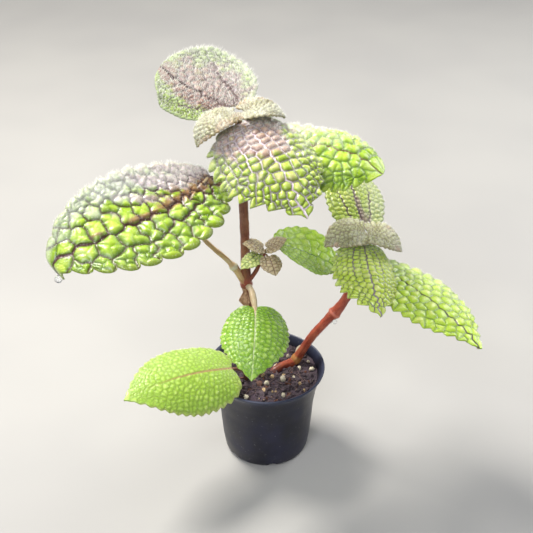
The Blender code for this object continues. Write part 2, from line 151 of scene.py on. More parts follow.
# A leaf's base, length, width and angles are its solid's own numbers, apart from the young leaves and the bud
# leaves, which are drawn rounder at the base. The young ones are drawn up to 0.6 mm wider than their solids,
# and the two of the right group 1.7 mm nearer each to the other, so that no gap shows between them. The bud
# leaves are drawn up to 2.5 mm longer and 3 mm wider. Blades are drawn about 0.6 mm thick, where the solids
# have 0.8 mm, and thinner in the bud leaves and at every margin.
# rows is the cells along each side, columns the cells across the inner and outer band of a side, band where
# the side nerve runs, and far the rows and columns of the far side where they differ.
LEAVES = {
    "leaf_top_back": dict(
        base=(-15.9, 9.6, 174.2), length=35.6, width=53.6, heading=137, pitch=5, bend=-34, sweep=35,
        roll=-6, droop=-25, late=1.5, widest=0.55, base_round=0.38, tip_round=0.45, lobe=0.39,
        petiole=[((-11, -0.2, 168), 0.9), ((-12.8, 3, 172.6), 0.85)],
        rows=15, columns=(6, 7), band=0.46, tooth=0.018, relief=0.95, look="back", grain=0.75, nerve=0.85,
        jitter=0.7),
    "leaf_young_left": dict(
        YOUNG, base=(-13.2, -3.8, 178.8), length=24, width=16.6, heading=214, pitch=14, bend=104, sweep=5,
        roll=2, droop=22,
        petiole=[((-11.3, -0.9, 172.8), 0.55), ((-12, -2.2, 176), 0.55)],
        rows=13),
    "leaf_young_right": dict(
        YOUNG, base=(-9.2, -2.6, 179), length=20, width=17.6, heading=13, pitch=21, bend=88, sweep=-3,
        droop=8,
        petiole=[((-10.8, -0.4, 172.8), 0.55), ((-10, -1.3, 176.2), 0.55)],
        rows=11),
    "leaf_top_front": dict(
        base=(-10.2, -4.4, 174), length=54, width=48, heading=-59, pitch=-4, bend=43, sweep=3, roll=10,
        droop=55,
        petiole=[((-10.8, -0.2, 170), 1.1), ((-10.8, -1.9, 171.8), 1.1)],
        rows=17, teeth=10, columns=(2, 4), band=0.36, tooth=0.1, relief=1.75, look="front", grain=0.8,
        nerve=0.36, jitter=0.35, rake=0.9, open=0.5),
    "leaf_top_right": dict(
        base=(-4, 4.4, 161), length=55.8, width=41.2, heading=-8, pitch=4, bend=42, sweep=-4, roll=12,
        droop=42, late=2, widest=0.5, tip_round=0.62,
        petiole=[((-10.4, 0.1, 154.5), 1.1), ((-7.6, 2.2, 157.6), 1.1)],
        rows=12, columns=(2, 2), far=(12, (2, 3)), tooth=0.085, relief=1.9, look="right", grain=1.0,
        lobes=2, jitter=0.2),
    "leaf_big_left": dict(
        base=(-23.2, -4.7, 150.3), length=92, width=44, heading=250, pitch=4, bend=84, sweep=-46, roll=-25,
        droop=-14, late=8, widest=0.52, base_round=0.5, tip_round=0.8, lobe=0.14,
        petiole=[((-9, 1, 91.5), 1.9), ((-14.4, 0, 101.4), 1.6), ((-16.2, -0.3, 104), 1.2),
                 ((-26.7, -2, 116.7), 1.0), ((-32, -3, 127), 0.95), ((-30.5, -3.4, 142), 0.95)],
        rows=12, columns=(1, 2), far=(15, (2, 3)), far_tooth=0.55, far_relief=0.55, tooth=0.075,
        relief=2.3, look="big", grain=1.2, nerve=0.6, lobes=3, jitter=0.25, rake=0.8),
    "leaf_side_shoot": dict(
        base=(4.1, 1.2, 113.2), length=32, width=33, heading=11, pitch=-22, bend=5, sweep=-26, roll=2,
        droop=-17, late=1, widest=0.51, tip_round=0.92,
        petiole=[((0.1, -1.4, 110.4), 0.6), ((1.7, -0.2, 112), 0.6)],
        rows=10, columns=(2, 2), band=0.45, tooth=0.03, relief=0.36, look="plain", grain=0.7, jitter=0.35,
        side_nerve=0.3),
    "leaf_bud_left": dict(
        BUD, base=(-3.3, -4.3, 110.9), length=10.5, width=10, heading=214, pitch=-10, bend=35, droop=20,
        petiole=[((-1.6, -3.4, 110.9), 0.4)],
        rows=7, columns=(1, 2), tooth=0.05, look="bud_green"),
    "leaf_bud_back": dict(
        BUD, base=(-1.4, -2.6, 113.2), length=9.5, width=11, heading=186, pitch=30, bend=35, droop=10,
        petiole=[((-0.9, -3, 111.7), 0.4)],
        rows=6, columns=(2, 2)),
    "leaf_bud_right": dict(
        BUD, base=(0.2, -4.6, 114.4), length=9.5, width=11, heading=8, pitch=32, bend=20, droop=10,
        petiole=[((-0.5, -3.9, 111.6), 0.4), ((-0.3, -4.5, 113.3), 0.4)],
        rows=6, columns=(2, 2)),
    "leaf_bud_front": dict(
        BUD, base=(0.8, -6.4, 111), length=9.8, width=10, heading=-66, pitch=-15, bend=40, droop=20,
        petiole=[((0, -4.8, 110.9), 0.4)],
        rows=7, columns=(1, 2)),
    "leaf_right_back": dict(
        base=(43, 12.4, 114.5), length=38, width=27, heading=107, pitch=40, bend=55, sweep=-12, roll=5,
        droop=10,
        petiole=[((43.4, 8.2, 108.5), 0.8), ((43.3, 10.2, 111.6), 0.8)],
        rows=17, teeth=14, columns=(3, 3), tooth=0.035, relief=0.62, look="side_back", grain=0.7,
        nerve=0.42, jitter=0.3),
    "leaf_right_young_left": dict(
        SILVER, base=(42.9, 5.4, 116.6), length=20.5, width=18.6, heading=196, pitch=18, bend=78, sweep=1,
        roll=-9, droop=10,
        petiole=[((43, 8.1, 109.5), 0.5), ((42.4, 6.8, 114.2), 0.45)]),
    "leaf_right_young_right": dict(
        SILVER, base=(44.4, 5.4, 116.4), length=20, width=19.4, heading=-6, pitch=4, bend=84, sweep=1,
        droop=10,
        petiole=[((44.2, 8.1, 109.5), 0.5), ((45.1, 7, 114), 0.45)]),
    "leaf_right_front": dict(
        base=(43, 4.2, 110.4), length=42, width=32, heading=-92, pitch=3, bend=44, sweep=20, roll=-8,
        droop=58,
        petiole=[((43.2, 8, 106.5), 0.9), ((43.2, 6, 108.8), 0.9)],
        rows=17, teeth=10, columns=(2, 4), band=0.38, tooth=0.1, open=0.5, relief=0.95, look="side_front",
        grain=0.8, nerve=0.36, jitter=0.3),
    "leaf_right_low": dict(
        base=(49, 4.4, 99), length=62, width=39, heading=-39, pitch=-6, bend=15, sweep=-14, roll=-10,
        droop=12,
        petiole=[((42, 7.9, 96), 1.1), ((45, 6.9, 97.3), 1.1)],
        rows=14, columns=(2, 2), tooth=0.06, relief=1.25, look="low_right", grain=0.8, nerve=0.42,
        jitter=0.35, side_nerve=0.3),
    "leaf_low_front": dict(
        base=(-5, -12.4, 88.2), length=42, width=33, heading=-88, pitch=6, bend=44, sweep=-8, droop=48,
        petiole=[((-8.8, 1, 91), 1.4), ((-7.2, -2.6, 91.6), 1.3), ((-6, -7.5, 90.4), 1.5)],
        rows=17, teeth=13, columns=(3, 3), tooth=0.035, relief=0.68, look="low_front", grain=0.7,
        nerve=0.36, jitter=0.35, side_nerve=0.12, stagger=0.08, open=0.5, straight=True, fading=0.5),
    "leaf_low_left": dict(
        base=(-15.6, -14.8, 56), length=55.6, width=38, heading=214, pitch=20, bend=31, sweep=-2, roll=-24,
        droop=44,
        petiole=[((-9.4, -4, 37.5), 1.0), ((-9.4, -4.8, 43), 1.0), ((-11.4, -9, 50.6), 0.9)],
        rows=22, teeth=15, columns=(4, 5), tooth=0.035, relief=0.36, look="low_left", grain=0.65,
        nerve=0.65, jitter=0.5, side_nerve=0.1, stagger=0.05, open=0.5, straight=True, fading=0.7),
}
# The midrib's places along the blade, the share of the blade over which the stalk thins to the midrib, and
# how far under the blade's middle it starts.
MIDRIB_PLACES = (0.03, 0.12, 0.3, 0.5, 0.7)
MIDRIB_REACH = 0.3
MIDRIB_UNDER = 0.55
# A leaf narrower than SMALL_LEAF has closer points and a thinner blade.
SMALL_LEAF, POINT_STEP, SMALL_POINT_STEP = 12, 0.42, 0.25
MOST_ALONG, MOST_ACROSS = 230, 130
# The width below which a cell is left out, away from the midrib.
LEAST_CELL = 0.55
# A distance that counts as far from every groove, and how many points are measured at a time.
FAR_OFF, BATCH = 9.0, 8000
ROUND_TOOTHED = ("big", "right", "back")
TOOTH_PEAK = 0.62
# How far the big leaf's tip is drawn out into a hook.
TIP_HOOK = (4.2, -0.5, -2.0)
# Where the big leaf's stalk swells, how much and how widely.
BIG_STALK_NODE = (11.7, 0.45, 1.3)
THIN_STALK, THIN_STALK_SIDES, STALK_SIDES, STALK_PER_MM = 0.7, 10, 14, 1.4
LONG_HAIR_RADIUS, SHORT_HAIR_RADIUS, STEM_HAIR_RADIUS = 0.075, 0.06, 0.05
BLADE_SEED, CELL_SEED, TONE_SEED, HAIR_SEED = 100, 300, 500, 900


def at_share(share, rows, wanted):
    """The row at each wanted share, between the rows on either side of it."""
    return np.stack([np.interp(wanted, share, rows[:, k]) for k in range(3)], -1)


def width_share(leaf, t):
    """The half width at t along the blade, as a share of its widest."""
    power = math.log(0.5) / math.log(leaf["widest"])
    roundness = leaf["base_round"] + (leaf["tip_round"] - leaf["base_round"]) * t
    return np.clip(np.sin(np.pi * np.clip(t, 0, 1) ** power), 0, 1) ** roundness


def midrib_frames(leaf, count=81):
    """The midrib's line with its side and up directions, from a little behind the base to the tip."""
    share = np.linspace(-0.3, 1, count)
    t = np.clip(share, 0, 1)
    turn = np.radians(leaf["heading"] + leaf["sweep"] * t)
    climb = np.radians(leaf["pitch"] - leaf["bend"] * t ** leaf["late"])
    ahead = np.stack([np.cos(turn) * np.cos(climb), np.sin(turn) * np.cos(climb), np.sin(climb)], -1)
    steps = (ahead[1:] + ahead[:-1]) / 2 * (share[1] - share[0]) * leaf["length"]
    line = np.vstack([np.zeros(3), np.cumsum(steps, 0)])
    line += np.array(leaf["base"]) - at_share(share, line, 0.0)
    level = np.stack([-np.sin(turn), np.cos(turn), np.zeros_like(turn)], -1)
    up = np.cross(ahead, level)
    roll = math.radians(leaf["roll"])
    left = level * math.cos(roll) + up * math.sin(roll)
    return share, line, left, np.cross(ahead, left)


def blade_point(leaf, frames, t, q):
    """The blade's smooth middle surface at t along and q across (-1 to 1), and its normal there."""
    share, line, left, up = frames
    half = leaf["width"] / 2
    across = half * width_share(leaf, t) * q
    back = leaf["lobe"] * (1 - t) ** 3 * np.abs(q) ** 1.5 * width_share(leaf, t)
    centre, side, normal = (at_share(share, rows, t - back) for rows in (line, left, up))
    curl = math.radians(leaf["droop"] or 0.01) / half
    sideways, down = np.sin(curl * across) / curl, (1 - np.cos(curl * across)) / curl
    turned = normal * np.cos(curl * across)[..., None] + side * np.sin(curl * across)[..., None]
    return centre + side * sideways[..., None] - normal * down[..., None], turned


def flat_place(leaf, t, q):
    """Where a point lies on the blade when it is spread flat, in millimetres along and across."""
    back = leaf["lobe"] * (1 - t) ** 3 * np.abs(q) ** 1.5 * width_share(leaf, t)
    return (t - back) * leaf["length"], leaf["width"] / 2 * width_share(leaf, t) * q


def cell_centres(leaf, rng):
    """The middle of each raised cell, with its side, band and row, and the lobes that each has."""
    places, groups, lobes, lobe_of = [], [], [], []
    for side in (-1, 1):
        rows, columns = leaf["rows"], leaf["columns"]
        if side < 0 and "far" in leaf:
            rows, columns = leaf["far"]
        for row in range(rows):
            # The two sides' rows are out of step, which makes the midrib zigzag.
            along = (row + 0.5 - (0 if side > 0 else leaf["stagger"])) / rows
            # The side nerve runs out to the margin before the tip.
            band = leaf["band"] + (leaf["open"] - leaf["band"]) * float(smooth(np.array(along), 0.3, 1.0))
            spots = [(band * (c + 0.5) / columns[0], 0) for c in range(columns[0])]
            outer = columns[1]
            spots += [(band + (1 - band) * (c + 0.5) / outer, 1) for c in range(outer)]
            for q, which in spots:
                rake = leaf["rake"] * leaf["width"] / leaf["length"] * (q - 0.8) * 0.5
                t = along + rake * (0.4 + 0.6 * math.sin(math.pi * min(max(along, 0), 1)))
                if not -0.02 < t < 0.985:
                    continue
                half = leaf["width"] / 2 * float(width_share(leaf, np.array(min(max(t, 0.005), 0.99))))
                cell_width = half * (band / columns[0] if which == 0 else (1 - band) / outer)
                if cell_width < LEAST_CELL and q > 0.3:
                    continue
                jitter = leaf["jitter"]
                t_at = min(max(t + rng.normal(0, jitter / rows * 0.5), 0.004), 0.99)
                q_at = side * min(q + rng.normal(0, jitter * 0.3 / sum(columns)), 0.97)
                s, w = flat_place(leaf, np.array(t_at), np.array(q_at))
                turn, count = rng.uniform(0, 2 * math.pi), leaf["lobes"]
                spread = 0.0 if count == 1 else 0.27 * min(leaf["length"] / rows, half / sum(columns) * 1.3)
                for k in range(count):
                    way = turn + 2 * math.pi * k / count + rng.normal(0, 0.3)
                    lobes.append((float(s) + spread * math.cos(way), float(w) + spread * math.sin(way)))
                    lobe_of.append(len(places))
                places.append((float(s), float(w)))
                groups.append((side, which, row))
    return np.array(places), groups, np.array(lobes), np.array(lobe_of)


def cell_fields(leaf, s, w, rng):
    """How far each point is from the grooves round its lobe, cell, row and band, and its cell's number."""
    places, groups, lobes, lobe_of = cell_centres(leaf, rng)
    # The grooves wander a little.
    s = s + 0.35 * leaf["grain"] * wobble(rng, s, w, 6)
    w = w + 0.3 * leaf["grain"] * wobble(rng, s, w, 5)
    row_keys = {g: k for k, g in enumerate(dict.fromkeys(groups))}
    main_keys = {g: k for k, g in enumerate(dict.fromkeys((g[0], g[1]) for g in groups))}
    row_of = np.array([row_keys[g] for g in groups])
    main_of = np.array([main_keys[(g[0], g[1])] for g in groups])
    row_of, main_of = row_of[lobe_of], main_of[lobe_of]
    d_lobe, d_any, d_row, d_main = (np.full(len(s), FAR_OFF) for _ in range(4))
    own = np.zeros(len(s), int)
    for start in range(0, len(s), BATCH):
        part = slice(start, start + BATCH)
        d2 = (s[part, None] - lobes[None, :, 0]) ** 2 + (w[part, None] - lobes[None, :, 1]) ** 2
        nearest = d2.argmin(1)
        mine = d2[np.arange(len(d2)), nearest]
        apart = np.linalg.norm(lobes[nearest][:, None] - lobes[None], axis=2)
        far = (d2 - mine[:, None]) / (2 * np.maximum(apart, 1e-6))
        far[apart < 1e-6] = FAR_OFF
        d_lobe[part] = far.min(1)
        for kind, found in ((lobe_of, d_any), (row_of, d_row), (main_of, d_main)):
            found[part] = np.where(kind[nearest][:, None] == kind[None], FAR_OFF, far).min(1)
        own[part] = lobe_of[nearest]
    return d_lobe, d_any, d_row, d_main, own, len(places)


def dome(x):
    """A cell's rounded height, from 0 in its groove to about 1."""
    return (1 - (1 - np.clip(x / 1.22, 0, 1)) ** 2) ** 0.85 / 0.97


def tooth_shape(leaf, t, side):
    """How far the margin stands out at t: round scallops or forward-pointing teeth."""
    count = leaf.get("teeth", leaf["rows"])
    f = (t * count + np.where(side > 0, 0.0, 0.35)) % 1.0
    if leaf["look"] in ROUND_TOOTHED:
        return 2 * np.sqrt(np.clip(1 - (2 * f - 1) ** 2, 0, 1)) - 1.2
    rise = np.clip(f / TOOTH_PEAK, 0, 1) ** 0.75
    fall = np.clip((1 - f) / (1 - TOOTH_PEAK), 0, 1) ** 0.9
    return 2 * np.minimum(rise, fall) - 1.0


def spaced(count, crowd=0.25):
    """Numbers from 0 to 1 that lie closer together at both ends."""
    x = np.linspace(0, 1, count)
    return x - crowd * np.sin(2 * math.pi * x) / (2 * math.pi)


def look_fields(leaf, t, q, s, w, rng):
    """Where a leaf is bronze, hazed with hair and its painted sheen, or pale at its edge."""
    a = np.abs(q)
    blot = wobble(rng, s, w, 11) * 0.5 + wobble(rng, s, w, 5) * 0.3
    look = leaf["look"]
    bronze, haze = np.zeros_like(t), np.zeros_like(t)
    if look == "big":
        bronze = smooth(1 - 2.6 * a * (0.55 + t) - 0.75 * t + 0.25 * blot, 0.1, 0.9)
        bronze = np.maximum(bronze, 0.75 * smooth(0.26 - t + 0.09 * blot - 0.15 * (q > 0) * a, 0.0, 0.2))
        bronze = np.maximum(bronze, 0.85 * smooth(0.62 - t + 0.25 * blot, 0.0, 0.4) * smooth(-q, 0.0, 0.3))
        # On the big leaf the whitish haze over the far half is partly a painted sheen of the light from
        # behind it.
        haze = smooth(-q + 0.3 * blot - 0.3 * smooth(t, 0.15, 0.7), 0.02, 0.5)
        haze = haze * (1 - 0.45 * smooth(t, 0.55, 0.85))
        haze = np.maximum(haze, 0.07 * smooth(0.5 + 0.6 * blot, 0.2, 0.9))
    elif look == "back":
        bronze = smooth(1.2 - 0.8 * a - 0.3 * t + 0.35 * blot - 1.7 * smooth(q, 0.2, 1.0), 0.05, 0.95)
        haze = smooth(0.42 - q * 0.5 + 0.5 * t + 0.3 * blot, 0.1, 1.05)
    elif look == "front":
        bronze = smooth(1.12 - 1.2 * t - 0.62 * a + 0.3 * blot, 0.12, 0.78)
        haze = smooth(0.9 - 1.0 * t + 0.05 * q + 0.3 * blot, 0.2, 1.0)
    elif look == "right":
        bronze = smooth(0.72 - 1.3 * t - 1.3 * a + 0.3 * blot, 0.0, 0.6)
        haze = smooth(0.8 + 0.45 * q - 0.85 * t + 0.25 * blot, 0.15, 1.0)
        haze = np.maximum(haze, 0.1 * smooth(0.5 + 0.6 * blot, 0.2, 0.9))
    elif look == "young":
        bronze = smooth(0.1 + 0.4 * blot + 0.75 * a * np.where(q > 0, 1.1, 0.5), 0.25, 0.9) * 0.75
        haze = smooth(0.55 + 0.5 * blot, 0.1, 1.0)
    elif look == "silver":
        bronze = smooth(0.15 + 0.5 * blot + 0.8 * a * t, 0.3, 0.9) * 0.7
        haze = smooth(0.6 + 0.5 * blot, 0.1, 1.0)
    elif look == "side_back":
        bronze = smooth(0.75 - 0.7 * t - 0.8 * a + 0.4 * blot, 0.15, 0.8) * 0.9
        haze = smooth(0.35 - 0.6 * q + 0.3 * blot, 0.1, 0.9) * 0.8
    elif look == "side_front":
        bronze = smooth(0.5 - 1.1 * t - 0.7 * a + 0.25 * blot, 0.05, 0.7) * 0.7
        haze = smooth(0.58 - 0.75 * t + 0.3 * blot, 0.1, 0.9) * 0.75
    elif look == "low_right":
        haze = smooth(0.4 + 0.55 * q - 0.4 * t + 0.3 * blot, 0.1, 0.95) * 0.6
    elif look == "low_front":
        haze = smooth(0.25 + 0.4 * blot, 0.1, 0.9) * 0.35
    elif look == "low_left":
        bronze = smooth(0.28 - t + 0.12 * blot, 0.0, 0.3) * 0.35
        haze = smooth(0.3 - 0.4 * q + 0.3 * blot, 0.1, 0.95) * 0.3
    elif look == "bud":
        bronze = smooth(0.7 + 0.4 * blot, 0.1, 0.9)
        haze = np.full_like(t, 0.35)
    elif look == "bud_green":
        haze = np.full_like(t, 0.35)
    return bronze, haze, smooth(a, 0.86, 1.0)


def toothed(leaf, t, q, rng):
    """q with the margin's teeth added."""
    # A tooth is as deep near the tip as at the widest part.
    share = np.maximum(width_share(leaf, t), 0.12)
    stand = tooth_shape(leaf, t, np.sign(q)) * np.minimum(1, 9 * (1 - t)) * np.minimum(1, 0.3 + 5 * t)
    stand = stand * smooth(np.abs(q), 1 - 0.3 / share**0.5, 1.0) / share
    stand = stand * np.where(q < 0, leaf["far_tooth"], 1.0)
    stand = stand + 0.25 * wobble(rng, t * leaf["length"], np.sign(q) * 9, 9) * smooth(np.abs(q), 0.5, 1)
    return q * (1 + leaf["tooth"] * stand)


def quilted(leaf, index, t, q, s, w, rng):
    """How far each point is lifted, how far it is from a main nerve, and its cell's numbers for the paint."""
    d_lobe, d_any, d_row, d_main, own, cells = cell_fields(leaf, s, w, rng)
    near = (leaf["rows"], leaf["columns"])
    sizes = []
    for rows, columns in (leaf.get("far", near), near):
        row = leaf["length"] / rows
        sizes.append((min(row, leaf["width"] / 2 / sum(columns) * 1.15) / 2, row / 2))
    cell, row_reach = (np.where(q < 0, *pair) for pair in zip(*sizes))
    rowline = np.exp(-(d_row / (0.3 * leaf["grain"])) ** 2)
    to_margin = leaf["width"] / 2 * np.clip(width_share(leaf, t), 0.02, 1) * (1 - np.abs(q)) + 0.12
    d_lobe, d_any = np.minimum(d_lobe, to_margin * 1.1), np.minimum(d_any, to_margin * 1.2)
    d_row = np.minimum(d_row, to_margin * 1.4)
    small, large = dome(d_any / (cell * 0.95)), dome(d_row / (row_reach * 1.05))
    size_of = np.random.default_rng(CELL_SEED + index).uniform(0.74, 1.14, cells)[own]
    shape = (0.58 * small + 0.42 * large) * size_of
    if leaf["lobes"] > 1:
        shape = shape * 0.8 + 0.2 * dome(d_lobe / (cell * 0.45))
    # The cells are flatter near the base and the tip, and on the far side where that is given.
    fade = np.minimum(np.minimum(1.0, 4 * (1 - t)), 0.35 + 3 * t)
    if "far" in leaf:
        fade = fade * np.where(q < 0, leaf["far_relief"], 1.0)
    fine = 0.05 * leaf["grain"] * wobble(rng, s, w, 1.3, 9)
    fine = fine + 0.035 * leaf["grain"] * wobble(rng, s, w, 0.9, 9)
    lift = leaf["relief"] * fade * (shape - 0.25) + fine * small
    # The main nerves lie deepest.
    if leaf["straight"]:
        d_main = np.abs(w)
    nerve = np.exp(-(d_main / leaf.get("nerve", 0.38 * leaf["grain"])) ** 2)
    middle = np.exp(-(w / (0.1 * leaf["width"])) ** 2)
    nerve = nerve * np.maximum(middle, leaf["side_nerve"] * (1 - smooth(t, 0.4, 0.66)))
    nerve = nerve * (1 - leaf["fading"] * smooth(t, 0.15, 0.9))
    tone = np.random.default_rng(TONE_SEED + index).uniform(0, 1, cells)[own]
    fields = dict(vein=nerve, groove=1 - small, row=rowline, height=shape, tone=tone)
    return lift - 0.22 * leaf["grain"] * nerve, d_main, fields


def leaf_mesh(name, index):
    """A quilted blade with toothed margin and a veined underside, and what its hairs need."""
    leaf = {**LEAF_DEFAULTS, **LEAVES[name]}
    rng = np.random.default_rng(BLADE_SEED + index)
    frames = midrib_frames(leaf)
    step = POINT_STEP if leaf["width"] > SMALL_LEAF else SMALL_POINT_STEP
    nt = int(min(max(leaf["length"] * 1.15 / step, 30), MOST_ALONG))
    nq = int(min(max(leaf["width"] * 1.05 / step, 20), MOST_ACROSS)) | 1
    ts = 0.004 + 0.992 * spaced(nt)
    qs = 2 * spaced(nq, 0.15) - 1
    t, q = (grid.ravel() for grid in np.meshgrid(ts, qs, indexing="ij"))
    reach = toothed(leaf, t, q, rng)
    s, w = flat_place(leaf, t, reach)
    lift, d_main, fields = quilted(leaf, index, t, q, s, w, rng)
    # The margin waves up and down a little, and is thinner than the rest.
    sway = 0.5 * wobble(rng, t * leaf["length"], np.sign(q) * 20, 16) * smooth(np.abs(q), 0.55, 1)
    sway = sway * leaf["width"] / 44
    point, normal = blade_point(leaf, frames, t, reach)
    edge_thin = 0.35 + 0.65 * smooth(1 - np.abs(q), 0.0, 0.12)
    thick = leaf["thick"] * edge_thin * (0.6 if leaf["width"] < SMALL_LEAF else 1)
    if name == "leaf_big_left":
        point = point + (smooth(t, 0.95, 1.0) ** 1.3)[:, None] * np.array(TIP_HOOK)
    top = point + normal * (lift + sway + thick / 2)[:, None]
    rib = 0.55 * np.exp(-(d_main / (0.55 * leaf["grain"])) ** 2) * min(1.0, leaf["width"] / 30)
    low = point + normal * (lift * 0.82 + sway - thick / 2 - rib)[:, None]
    faces = sheet_faces(nt, nq)
    # Which way round a face goes follows the blade's normal.
    first = faces[(nt - 1) * (nq - 1) // 2]
    out = np.cross(top[first[1]] - top[first[0]], top[first[3]] - top[first[0]])
    if float(out @ normal[first[0]]) < 0:
        faces = faces[:, ::-1]
    tone = fields.pop("tone")
    fields["bronze"], fields["haze"], fields["edge"] = look_fields(leaf, t, q, s, w, rng)
    fields.update(under=np.zeros_like(t), tone=tone)
    # The underside's points follow the top's, with the same numbers but for two.
    values = {key: np.tile(numbers, 2) for key, numbers in fields.items()}
    values["vein"][len(t):] *= 0.9
    values["under"][len(t):] = 1.0
    return dict(leaf=leaf, frames=frames, points=np.concatenate([top, low]), faces=faces, values=values,
                top=top, normal=normal, q=q, haze=fields["haze"], shape=fields["height"],
                nerve=fields["vein"], nt=nt, nq=nq)


def tube_mesh(path, sides, per_mm):
    """A smooth tube through points with radii: its line, radii, rings, places in mm, angles and headings."""
    centres = np.array([p for p, _ in path], float)
    radii = np.array([r for _, r in path], float)
    gaps = np.linalg.norm(np.diff(centres, axis=0), axis=1)
    knots = np.concatenate([[0], np.cumsum(gaps)])
    count = max(4, int(knots[-1] * per_mm))
    where = np.linspace(0, knots[-1], count)
    # A smooth curve through the points: cubic Hermite with averaged slopes.
    slopes = np.gradient(centres, knots, axis=0) if len(path) > 2 else np.repeat(
        (centres[1:] - centres[:-1]) / gaps[:, None], 2, 0)
    k = np.clip(np.searchsorted(knots, where, "right") - 1, 0, len(path) - 2)
    h = (knots[k + 1] - knots[k])[:, None]
    u = ((where - knots[k])[:, None]) / h
    line = ((2 * u**3 - 3 * u**2 + 1) * centres[k] + (u**3 - 2 * u**2 + u) * h * slopes[k]
            + (3 * u**2 - 2 * u**3) * centres[k + 1] + (u**3 - u**2) * h * slopes[k + 1])
    e = smooth(u[:, 0])
    radius = radii[k] * (1 - e) + radii[k + 1] * e
    ahead = np.gradient(line, axis=0)
    ahead /= np.linalg.norm(ahead, axis=1)[:, None]
    side = np.cross(ahead[0], (0.3, 1.0, 0.2))
    sides_at = []
    for direction in ahead:
        side = side - direction * (side @ direction)
        side /= np.linalg.norm(side)
        sides_at.append(side)
    sides_at = np.array(sides_at)
    other = np.cross(ahead, sides_at)
    angle = 2 * math.pi * np.arange(sides) / sides
    ring = sides_at[:, None] * np.cos(angle)[None, :, None] + other[:, None] * np.sin(angle)[None, :, None]
    return line, radius, ring, where, angle, ahead


def tube_points(path, rng, sides, per_mm, rough=0.06, ribs=0.03, swell=()):
    """A tube's points, faces and values, lightly grooved along its length, with closed round ends."""
    line, radius, ring, where, angle, ahead = tube_mesh(path, sides, per_mm)
    for at, more, wide in swell:
        radius = radius + more * np.exp(-((where - at) / wide) ** 2)
    grid_s, grid_a = np.meshgrid(where, angle, indexing="ij")
    uneven = rough * wobble(rng, grid_s, np.cos(grid_a) * 3, 5)
    uneven = uneven + rough * 0.6 * wobble(rng, grid_s, np.sin(grid_a) * 3, 3)
    grooves = ribs * np.cos(grid_a * 7 + 0.08 * grid_s)
    points = line[:, None] + ring * (radius[:, None] * (1 + uneven + grooves))[..., None]
    n = len(where)
    verts = list(points.reshape(-1, 3))
    faces = [ring_faces(n, sides)]
    next_round = np.roll(np.arange(sides), -1)
    along, around = list(grid_s.ravel()), list(grid_a.ravel() / (2 * math.pi))
    for end, way in ((0, -1), (n - 1, 1)):
        last = end * sides + np.arange(sides)
        for inset, out in ((0.8, 0.45), (0.4, 0.85)):
            fresh = len(verts) + np.arange(sides)
            centre = line[end] + ahead[end] * way * radius[end] * out
            verts += list(centre + ring[end] * radius[end] * inset)
            along += [where[end]] * sides
            around += list(angle / (2 * math.pi))
            quad = np.stack([last, last[next_round], fresh[next_round], fresh], -1)
            faces.append(quad if way > 0 else quad[:, ::-1])
            last = fresh
        tip = len(verts)
        verts.append(line[end] + ahead[end] * way * radius[end] * 0.97)
        along.append(where[end])
        around.append(0)
        quad = np.stack([last, last[next_round], np.full(sides, tip), np.full(sides, tip)], -1)
        faces.append(quad if way > 0 else quad[:, ::-1])
    turn = 2 * math.pi * np.array(around)
    values = {"along": np.array(along), "ca": np.cos(turn), "sa": np.sin(turn)}
    return np.array(verts), np.concatenate(faces), values


def joined(parts):
    """Several meshes of points, faces and values as one."""
    points, faces, values, start = [], [], {}, 0
    for p, f, v in parts:
        points.append(p)
        faces.append(f + start)
        for key, numbers in v.items():
            values.setdefault(key, []).append(numbers)
        start += len(p)
    return np.concatenate(points), np.concatenate(faces), {k: np.concatenate(v) for k, v in values.items()}


def spikes(roots, directions, lengths, radii, rng, lean):
    """Fine tapering three-sided hairs, as points and faces."""
    n = len(roots)
    directions = directions / np.linalg.norm(directions, axis=1)[:, None]
    directions = directions + rng.normal(0, lean, (n, 3))
    directions /= np.linalg.norm(directions, axis=1)[:, None]
    helper = np.where(np.abs(directions[:, 2:3]) > 0.8, (1.0, 0, 0), (0, 0, 1.0))
    side = np.cross(directions, helper)
    side /= np.linalg.norm(side, axis=1)[:, None]
    other = np.cross(directions, side)
    points = np.zeros((n, 4, 3))
    for k in range(3):
        turn = 2 * math.pi * k / 3
        points[:, k] = roots + (side * math.cos(turn) + other * math.sin(turn)) * np.asarray(radii)[:, None]
    points[:, 3] = roots + directions * np.asarray(lengths)[:, None]
    faces = np.array([(0, 1, 3), (1, 2, 3), (2, 0, 3)])[None] + (np.arange(n) * 4)[:, None, None]
    return points.reshape(-1, 3), faces.reshape(-1, 3), {"share": np.tile([0, 0, 0, 1.0], n)}


# Materials


